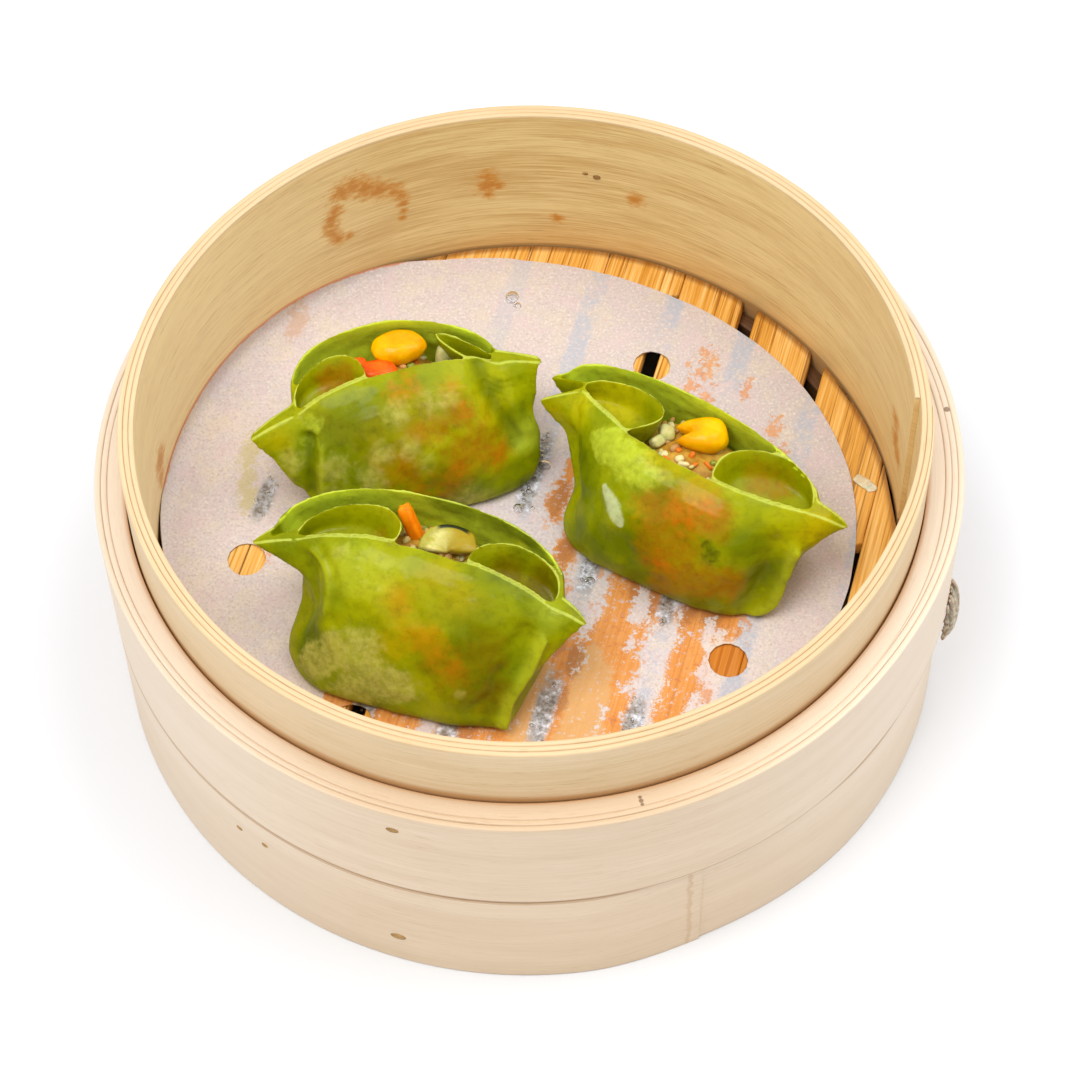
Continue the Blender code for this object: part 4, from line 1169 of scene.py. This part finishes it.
def kernel(middle, half, turn, taper, notch, seed):
    """A corn kernel: broad crown, narrow foot, with a dent or a split."""
    def shape(point):
        narrow = 1.0 - taper * point.x
        inwards = notch * max(0.0, -point.x) * max(0.0, 1.0 - abs(point.y) * 1.3) ** 1.2
        bump = 0.07 * noise.noise(point * 2.2 + Vector((seed, 0.0, 0.0)))
        flat = 1.0 - 0.12 * smooth_step(1.0 - 2.5 * abs(point.y))
        grown = point * (1.0 + bump)
        return Vector((grown.x + inwards, mix(grown.y, squarer(point.y, 0.75), 0.35) * narrow,
                       grown.z * narrow * flat))
    return ellipsoid(middle, half, turn, (40, 30), shape)


def half_slice(middle, radius, thickness, turn):
    """Half a round slice of courgette: rows from the straight cut to the skin."""
    turn = rotation(turn)
    rings = []
    for step in range(25):
        angle = math.pi * step / 24
        uneven = 1.0 + 0.16 * noise.noise(Vector((step * 0.21, 4.0, 1.0)))
        ring = []
        for side in map(around, turns(16)):
            out = 0.52 + 0.48 * squarer(side.x, 0.35)
            high = thickness * 0.5 * squarer(side.y, 0.35) + 0.9 * math.sin(2.0 * (angle + out))
            point = Vector((radius * out * uneven * math.cos(angle),
                            radius * out * math.sin(angle), high))
            ring.append(turn @ point + Vector(middle))
        rings.append(ring)
    return loft(rings)


def courgette_material(middle, radius):
    """Pale flesh with a dark green skin round the arc."""
    look = Look("courgette_flesh", Subsurface_Weight=0.3, Subsurface_Scale=0.002,
                Coat_Weight=0.2, Coat_Roughness=0.1, Specular_IOR_Level=0.1)
    place = dumpling_matrix("front")
    centre = place @ Vector(middle)
    away = look.vector("DISTANCE", look.position, tuple(centre * MM), output=1)
    fine = look.noise(500.0, 4.0, 0.6)
    colour = fine.ramp((0.36, (176, 166, 64)), (0.58, (208, 200, 124)))
    ring = away.step(radius * 0.70 * MM, radius * 0.86 * MM)
    colour = colour.mix(ring * 0.7, (150, 142, 14))
    far = (look.along((0.9, -0.3, 0.0)) + fine * 6.0).step(-7.5, -3.5)
    colour = colour.mix(far * 0.9, (156, 130, 4))
    arc = centre + place.to_3x3() @ Vector((-0.6, radius, 1.2))
    near = look.spots([(*arc, 4.6)]).step(0.0, 0.35)
    skin = near * away.step(radius * 0.84 * MM, radius * 0.89 * MM)
    colour = colour.mix(skin, (38, 42, 12))
    return look.finish(colour, fine * 0.16 + 0.2, fine, 0.4, 0.12)


def filling_core(source, dough):
    """The lump of filling, roughened and kept inside the dough."""
    bm = bmesh.new()
    bm.from_mesh(source.data)
    bmesh.ops.remove_doubles(bm, verts=bm.verts, dist=0.01 * MM)
    for _ in range(3):
        bmesh.ops.subdivide_edges(bm, edges=bm.edges, cuts=1, use_grid_fill=True)
        bmesh.ops.smooth_vert(bm, verts=bm.verts, factor=0.5, use_axis_x=True, use_axis_y=True,
                              use_axis_z=True)
    bm.normal_update()
    middle = sum((vertex.co / MM for vertex in bm.verts), Vector()) / len(bm.verts)
    middle.z += 4.0
    for vertex in bm.verts:
        point = vertex.co / MM
        rough = 0.35 * noise.noise(point * 0.4) + 0.2 * noise.noise(point * 1.1)
        point += vertex.normal * rough + up(FILLING_RISE * smooth_step(vertex.normal.z * 1.4))
        way = (point - middle).normalized()
        found = dough.ray_cast(middle, way)[3]
        if found and found < (point - middle).length + DOUGH_GAP:
            point = middle + way * max(found - DOUGH_GAP, 1.0)
        vertex.co = point * MM
    mesh = bpy.data.meshes.new(source.name + "_look")
    bm.to_mesh(mesh)
    bm.free()
    mesh.materials.append(MATERIALS["filling"])
    return mesh


def build_filling(name, seed, wrapper):
    """The lump of filling, and chopped bits pressed into its open top."""
    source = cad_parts[f"dumpling_{name}_filling"]
    dough = BVHTree.FromPolygons([vertex.co / MM for vertex in wrapper.vertices],
                                 [face.vertices[:] for face in wrapper.polygons])
    mesh = filling_core(source, dough)
    add_object(f"dumpling_{name}_core", mesh, [source.name])
    # Bits lie where the filling is open to the sky, in a seeded scatter.
    random = np.random.default_rng(seed)
    tops = [vertex.co / MM for vertex in mesh.vertices if vertex.normal.z > 0.5]
    tops = [spot for spot in tops if dough.find_nearest(spot)[3] > BIT_ROOM
            and dough.ray_cast(spot, up(1.0))[0] is None]
    parts, tints = [], []
    for index in range(BIT_COUNT):
        spot = tops[random.integers(len(tops))]
        size = random.uniform(1.2, 2.6, 3) * (1.0, 0.7, 0.5)
        turn = random.uniform(-180.0, 180.0, 3) * (0.2, 0.2, 1.0)
        part = chunk(spot + up(0.2), size, turn, index, 4.0, (8, 6))
        parts.append(part)
        tints += [rgb(*BIT_COLOURS[random.integers(len(BIT_COLOURS))])] * len(part[0])
    obj = make_object(f"dumpling_{name}_bits", merge(parts), MATERIALS["bits"])
    tint = obj.data.attributes.new("tint", "FLOAT_COLOR", "POINT")
    tint.data.foreach_set("color", np.array(tints, np.float32).ravel())


def build_morsels():
    corn, carrot, onion = MATERIALS["corn"], MATERIALS["carrot"], MATERIALS["onion"]
    add_morsel("corn", "back", corn,
               kernel((3.4, 11.2, 23.9), (5.9, 4.1, 3.2), (0, 0, -6.0), 0.05, 0.0, 1.0))
    add_morsel("corn", "right", corn,
               kernel((-1.2, 5.0, 23.4), (6.4, 3.9, 2.9), (0, 0, 24.0), -0.38, 0.75, 2.0))
    add_morsel("carrot", "back", carrot,
               chunk((-2.9, 6.9, 23.0), (9.0, 5.0, 4.0), (0, 0, -12.0), 3.0, 3.0),
               chunk((-6.8, 9.8, 23.2), (5.0, 2.8, 2.8), (0, 0, 8.0), 7.0, 3.0))
    add_morsel("carrot", "front", MATERIALS["lit_carrot_stick"],
               chunk((-4.9, 11.9, 24.2), (2.9, 2.6, 9.4), (-24.0, -26.0, 10.0), 4.0, 6.0))
    add_morsel("onion", "back", onion,
               chunk((12.2, 7.2, 22.2), (3.4, 3.2, 5.4), (-20, 10, 0), 5.0, 3.0),
               chunk((14.4, 6.0, 21.4), (3.4, 3.0, 2.6), (20, 30, 0), 8.0, 3.0))
    add_morsel("onion", "right", onion,
               chunk((-7.8, 3.4, 22.0), (3.4, 3.6, 2.4), (10, 20, 30), 6.0, 4.0),
               chunk((-8.6, 0.6, 22.0), (3.2, 2.4, 2.4), (40, 10, 70), 9.0, 4.0))
    middle, radius = (4.4, 7.6, 23.6), 6.4
    add_morsel("courgette", "front", courgette_material(middle, radius),
               half_slice(middle, radius, 2.4, (16.0, 4.0, 14.0)))


def build_droplets():
    """Beads of water on the paper, most of them where it is wet."""
    look = Look("water", Transmission_Weight=1.0, IOR=1.33, Roughness=0.02)
    water = look.finish(height=look.noise(900.0, 2.0), strength=0.1, depth=0.05)
    random = np.random.default_rng(7)
    spots = [(-2.6, 64.0, 1.9), (-1.4, 61.6, 1.0), (-2.0, 5.0, 1.3), (4.0, 16.4, 1.5),
             (0.5, 9.5, 0.8), (13.1, -14.3, 1.1), (-20.0, -46.0, 0.9)]
    across, along = slat_axes(SLAT_TURN)
    for s, t, radius in SOAKED:
        for _ in range(9):
            place = across * (s + radius * random.uniform(-0.6, 0.6))
            place += along * ((t + radius * random.uniform(-0.8, 0.8)) / ALONG_SCALE)
            spots.append((place.x, place.y, random.uniform(0.25, 0.55)))
    beads = [ellipsoid((x, y, PAPER_TOP - 0.12), (radius, radius * 0.9, radius * 0.5),
                       (0, 0, 40.0 * x), (14, 10))
             for x, y, radius in spots if math.hypot(x, y) < 70.0]
    make_object("water_beads", merge(beads), water)
    scrap = [chunk((73.4, 10.2, FLOOR_TOP + 0.25), (4.6, 2.6, 0.9), (0, 4, -38), 2.0, 3.0),
             chunk((75.0, 8.6, FLOOR_TOP + 0.2), (2.4, 1.8, 0.7), (3, 0, 20), 5.0, 3.0)]
    make_object("paper_scrap", merge(scrap), MATERIALS["scrap"])


MATERIALS = {
    "filling": morsel_material("filling_mince", (204, 160, 62), (160, 112, 30), 500.0, 0.4, 0.4),
    "bits": tinted_material("chopped_bits"),
    "corn": morsel_material("corn_kernel", (238, 180, 0), (224, 148, 0), 300.0, 0.25),
    "carrot": morsel_material("carrot_piece", (240, 102, 10), (216, 70, 2), 500.0, 0.35),
    # A lighter, more orange copy of the carrot colour for the stick in the front dumpling: its own
    # tone, and painted light for the shade it lies in.
    "lit_carrot_stick": morsel_material("lit_carrot_stick", (246, 146, 14), (230, 116, 4), 500.0, 0.35),
    "scrap": morsel_material("paper_scrap", (232, 220, 194), (206, 188, 148), 900.0, 0.8),
    "onion": morsel_material("onion_piece", (204, 200, 140), (172, 164, 76), 600.0, 0.25),
}


BROWN, ORANGE, YELLOW = (156, 106, 4), (200, 110, 8), (184, 160, 0)
PALE, GREEN, PAINTED_HIGHLIGHT = (178, 172, 84), (98, 112, 0), (196, 204, 150)
LIGHT, OLIVE, SHADE = (182, 194, 50), (122, 106, 0), (78, 84, 4)
DEEP_SHADE = (80, 92, 0)
# Patches that show through the dough, and some painted light, shade and highlights: places as x, y,
# z and radius, colour, strength, graininess and the two levels of their soft edge.
DOUGHS = {
    "back": [
        ([(-39, 10, 58, 7), (-35, 10, 58, 7), (-42, 11, 59, 6)], (112, 112, 0), 0.7, 0.0,
         0.0, 0.9),
        ([(-22, 9, 55, 16), (-12, 10, 50, 14)], (186, 152, 8), 0.4, 0.0, 0.0, 1.0),
        ([(-1, 17, 52, 4), (-6, 20, 58, 3)], GREEN, 0.6, 0.0, 0.0, 0.6),
        # Painted light on the shaded right side of the back dumpling.
        ([(0, 16, 46, 6)], LIGHT, 0.6, 0.0, 0.0, 0.8),
        ([(-18, 11, 57, 7), (-14, 8, 50, 9), (-17, 5, 46, 9), (-26, 4, 50, 8),
          (-10, 10, 50, 8), (-22, 10, 56, 5), (-15, 13, 57, 6), (-24, 4, 44, 8)],
         BROWN, 0.85, 0.6, 0.0, 0.9),
        ([(-27, 16, 63, 4.5), (-24, 18, 63, 4), (-16, 18, 61, 4), (-13, 14, 58, 3.5),
          (-5, 11, 46, 4), (-14, 7, 47, 3)], ORANGE, 0.5, 1.0, 0.0, 1.0),
        ([(-27, 12, 60, 4.5), (-19, 14, 60, 5), (-16, 16, 60, 3), (-24, 7, 54, 4),
          (-21, 6, 51, 4), (-12, 5, 39, 6), (-30, 6, 54, 4), (-33, 4, 48, 5)],
         PALE, 0.7, 0.9, 0.0, 1.0),
        ([(-45, 11, 58, 3), (-46, 9, 55, 2.5)], LIGHT, 0.6, 1.0, 0.0, 0.7),
        ([(-50, 7, 51, 4), (-41, 4, 50, 5), (-41, 2, 45, 5)], PALE, 0.6, 0.9, 0.0, 0.8),
        ([(-52, 8, 56, 5), (7, 23, 58, 4)], YELLOW, 0.35, 0.0, 0.0, 0.8),
        ([(-41, 23, 57, 5), (-38, 23, 58, 5), (-37, 20, 58, 4)], BROWN, 0.9, 0.4, 0.0, 0.7)],
    "right": [
        ([(11, 4, 54, 7), (11, -2, 50, 7), (12, -6, 42, 8), (16, -10, 43, 8),
          (46, -21, 55, 7), (49, -23, 46, 8)], GREEN, 0.8, 0.0, 0.0, 0.8),
        ([(16, 4, 60, 4), (18, 2, 61, 5), (20, -1, 62, 5.5), (23, -4, 61.5, 5.5),
          (25, -7, 61, 4.5)], LIGHT, 0.85, 0.6, 0.05, 0.5),
        ([(29, -13, 58, 7), (34, -14, 59, 8), (38, -16, 59, 6), (28, -15, 55, 8),
          (28, -19, 49, 9), (32, -22, 46, 9), (35, -23, 46, 7), (26, -11, 58, 6),
          (42, -24, 46, 6), (30, -18, 52, 9), (28, -21, 42, 7)], BROWN, 0.85, 0.4, 0.0, 0.7),
        ([(34, -15, 58, 6), (31, -14, 58, 5), (37, -14, 60, 4), (28, -19, 47, 5)],
         ORANGE, 0.75, 0.9, 0.0, 0.9),
        ([(38, -21, 53, 2.6), (37, -20, 55, 1.6)], SHADE, 0.8, 0.8, 0.0, 0.6),
        ([(30, -5, 62.6, 5), (35, -10, 61, 5), (27, -3, 63, 4), (24, -10, 55, 4)],
         YELLOW, 0.5, 0.8, 0.0, 0.8),
        ([(60, -17, 56, 6), (5, 14, 56, 5), (6, 11, 54, 5)], YELLOW, 0.5, 0.0, 0.0, 0.8),
        ([(20, 16, 57, 8), (14, 15, 57, 7)], (204, 190, 8), 0.6, 0.0, 0.0, 0.7),
        ([(49, -5, 57, 6), (52, -7, 57, 5)], BROWN, 0.7, 0.5, 0.0, 0.8),
        # A painted highlight: a long glint down the right dumpling's front.
        ([(16.3, -5.2, 55.8, 1.1), (16.6, -6.2, 55.3, 1.7), (17.0, -7.2, 54.8, 2.2),
          (17.5, -8.1, 54.2, 2.5), (18.0, -9.0, 53.6, 2.6), (18.5, -9.9, 53.0, 2.4),
          (19.0, -10.8, 52.4, 1.9), (19.3, -11.6, 51.9, 1.2)], PAINTED_HIGHLIGHT, 0.9, 0.1, 0.05, 0.5)],
    "front": [
        # Painted shade on the front dumpling's lower left side.
        ([(-45, -35, 46, 8), (-46, -34, 51, 6)], DEEP_SHADE, 0.85, 0.0, 0.0, 0.8),
        ([(-50, -20, 59, 7), (2, -38, 57, 8), (-41, -32, 56, 6), (2, -43, 46, 6), (-7, -41, 57, 12),
          (-4, -44, 50, 10)], GREEN, 0.5, 0.0, 0.0, 0.9),
        # Painted shade in the front dumpling's right pocket.
        ([(-4, -28, 57, 7), (2, -30, 57, 6)], (112, 96, 0), 0.9, 0.0, 0.0, 0.6),
        ([(4, -38, 59, 5)], LIGHT, 0.35, 0.0, 0.0, 0.9),
        ([(-19, -45, 51, 7), (-14, -47, 48, 8), (-9, -45, 53, 8), (-8, -48, 44, 7)],
         OLIVE, 0.8, 0.5, 0.0, 0.8),
        ([(-25, -40, 55, 6), (-27, -41, 52, 6), (-20, -42, 54, 5), (-27, -34, 60, 5)],
         YELLOW, 0.6, 0.8, 0.0, 0.8),
        ([(-18, -31, 64, 6), (-14, -35, 61, 6)], YELLOW, 0.35, 0.5, 0.0, 0.8),
        ([(-6, -17, 62, 9), (-14, -14, 63, 9), (0, -22, 61, 7)], GREEN, 0.75, 0.0, 0.0, 0.8),
        ([(-22, -41, 54.5, 5.5), (-25.7, -34.6, 59.3, 4.5), (-16, -45.6, 49.7, 5.5),
          (-19, -43.5, 52, 5)], ORANGE, 0.4, 0.6, 0.0, 1.0),
        ([(-24, -40, 54, 16), (-16, -36, 60, 12)], OLIVE, 0.22, 0.0, 0.0, 0.8),
        ([(-39, -40, 47, 7), (-34, -43, 46, 7), (-31, -45, 44, 7), (-28, -46, 44, 6),
          (-35, -40, 50, 6), (-44, -39, 43, 6), (-36, -43, 40, 8)], PALE, 0.75, 0.8, 0.0, 0.6),
        # Painted highlights: small pale glints on the front dumpling.
        ([(-38, -24.5, 62.5, 2.4), (-14.4, -48.8, 45.2, 1.6)], PALE, 0.5, 0.9, 0.0, 0.8),
        ([(-8, -50, 41, 2.4)], SHADE, 0.4, 0.3, 0.0, 0.8),
        ([(-35, -28, 62, 8), (-30, -30, 61, 6)], LIGHT, 0.35, 0.6, 0.0, 0.8),
        ([(-29, -18, 58, 4)], BROWN, 0.6, 0.6, 0.0, 0.9)],
}
# Folds pressed into the dough: a line of points, a push in mm, a half width and how much painted
# light the fold gets, below 0 painted shade.
CREASES = {
    "back": [
        ([(-46, 9, 55), (-46, 6, 50), (-46, 3, 44)], (0.4, 1.8, 0.0), 1.8, -0.9),
        ([(-49, 8, 54), (-49, 5, 49)], (-0.5, -0.9, 0.0), 1.5, 0.3),
        ([(-43.4, 8, 54), (-43.7, 5, 49), (-44, 3, 44)], (0.0, -1.4, 0.0), 1.2, 0.9),
        ([(-10, 23, 61), (-8.5, 19, 57), (-5, 16, 51.5), (-2, 14, 47)],
         (0.0, 1.6, -0.3), 2.2, -0.9),
        ([(-13, 21, 61), (-11.5, 17, 57), (-8, 14, 51)], (0.0, -0.6, 0.0), 1.6, 0.4),
        ([(4.5, 22, 56), (4.5, 19, 52)], (-3.0, 0.0, 0.0), 4.6, 0.0),
        ([(-5, 24, 61), (-4, 21, 58), (-2, 19, 54), (2, 17, 49)], (0.3, -0.9, 0.2), 2.0, 0.0)],
    "right": [
        ([(55, -20, 52), (53, -22, 45), (51, -23, 39), (47, -25, 36)], (1.0, -1.6, 0.0), 1.5, 1.0),
        ([(51, -20, 54), (49, -23, 46), (46, -25, 38)], (0.0, 1.5, 0.0), 2.6, 0.0),
        ([(4.5, 10, 52), (4.5, 7, 49), (5.5, 3, 45)], (5.5, 0.5, 0.0), 5.2, 0.0),
        ([(17, -5, 56), (18, -11, 51)], (-0.5, -0.3, 0.0), 1.8, 0.0),
        ([(18, 1, 61), (24, -6, 61)], (0.0, -0.4, 0.5), 4.5, 0.0)],
    "front": [
        ([(-46, -26, 57), (-47, -28, 54), (-47, -33, 46)], (1.0, 0.7, 0.0), 4.0, -0.3),
        ([(-45, -25, 54), (-45, -29, 50)], (0.8, 0.6, 0.4), 4.4, 0.0),
        ([(-50, -25, 52), (-50, -28, 48)], (4.6, 1.0, 0.3), 6.0, 0.0),
        ([(-45, -23, 60), (-42, -28, 59), (-41, -31, 56), (-42, -33, 53)],
         (-0.2, -0.35, 0.1), 1.2, 0.5),
        ([(-43, -23, 61), (-40, -28, 60), (-39, -32, 56), (-40, -35, 52)],
         (0.2, 0.4, -0.1), 1.4, 0.0),
        ([(2, -42, 55), (-1, -46, 49), (-5, -49, 43), (-7, -50, 38)], (1.0, -1.6, 0.0), 1.4, 1.0),
        ([(-1, -42, 56), (-5, -46, 49), (-9, -49, 42)], (0.0, 1.6, 0.0), 2.4, 0.0),
        ([(-6, -50, 37), (-6, -50, 36)], (0.8, -1.6, 0.0), 4.0, 0.0)],
}


def build_dumplings():
    for seed, (name, fold) in enumerate(DUMPLINGS.items(), 1):
        dough = dough_material("dough_" + name, DOUGHS[name])
        wrapper = build_wrapper(name, fold, dough, seed * 3.7, CREASES[name])
        build_filling(name, seed, wrapper)
    build_morsels()


# The room.
def build_floor():
    side, steps = 4.0, 8
    mesh = bpy.data.meshes.new("floor")
    points = [(side * (column / steps - 0.5), side * (row / steps - 0.5), 0.0)
              for row in range(steps + 1) for column in range(steps + 1)]
    corners = [row * (steps + 1) + column for row in range(steps) for column in range(steps)]
    mesh.from_pydata(points, [], [(low, low + 1, low + steps + 2, low + steps + 1)
                                  for low in corners])
    floor = bpy.data.objects.new("floor", mesh)
    bpy.context.scene.collection.objects.link(floor)
    look = Look("pale_floor", Roughness=0.9, Specular_IOR_Level=0.1)
    tone = look.noise(3.0, 2.0)
    mesh.materials.append(look.finish(tone.ramp((0.3, (217, 218, 221)), (0.7, (220, 221, 223)))))


def build_lights(scene):
    world = bpy.data.worlds.new("studio")
    scene.world = world
    world.use_nodes = True
    background = world.node_tree.nodes["Background"]
    background.inputs["Color"].default_value = (1.0, 1.0, 1.0, 1.0)
    background.inputs["Strength"].default_value = 0.82
    for name, place, size, power in (("key", (-0.35, -0.3, 1.2), 0.6, 9.5),
                                     ("fill", (0.55, 0.1, 1.15), 0.9, 8.0)):
        lamp = bpy.data.lights.new(name, "AREA")
        lamp.size = size
        lamp.energy = power
        light = bpy.data.objects.new(name, lamp)
        light.location = place
        light.rotation_euler = (-Vector(place)).to_track_quat("-Z", "Y").to_euler()
        scene.collection.objects.link(light)


def build_camera(scene):
    """The camera of the photo, worked out from the ellipses of the rim, ledge and foot."""
    eye = bpy.data.cameras.new("camera")
    eye.sensor_width = 36.0
    eye.lens = 102.47
    camera = bpy.data.objects.new("camera", eye)
    scene.collection.objects.link(camera)
    camera.matrix_world = Matrix((
        (0.9997781, 0.02106549, 0.0, 0.00259641),
        (-0.01729033, 0.8206073, -0.57123087, -0.3817021),
        (-0.01203326, 0.57110411, 0.82078943, 0.57800656),
        (0.0, 0.0, 0.0, 1.0)))
    scene.camera = camera


build_basket()
build_liner()
build_nails()
build_lacing()
build_dumplings()
build_droplets()
build_floor()
build_lights(bpy.context.scene)
build_camera(bpy.context.scene)
bpy.context.scene.view_settings.view_transform = "Standard"

bpy.context.view_layer.update()
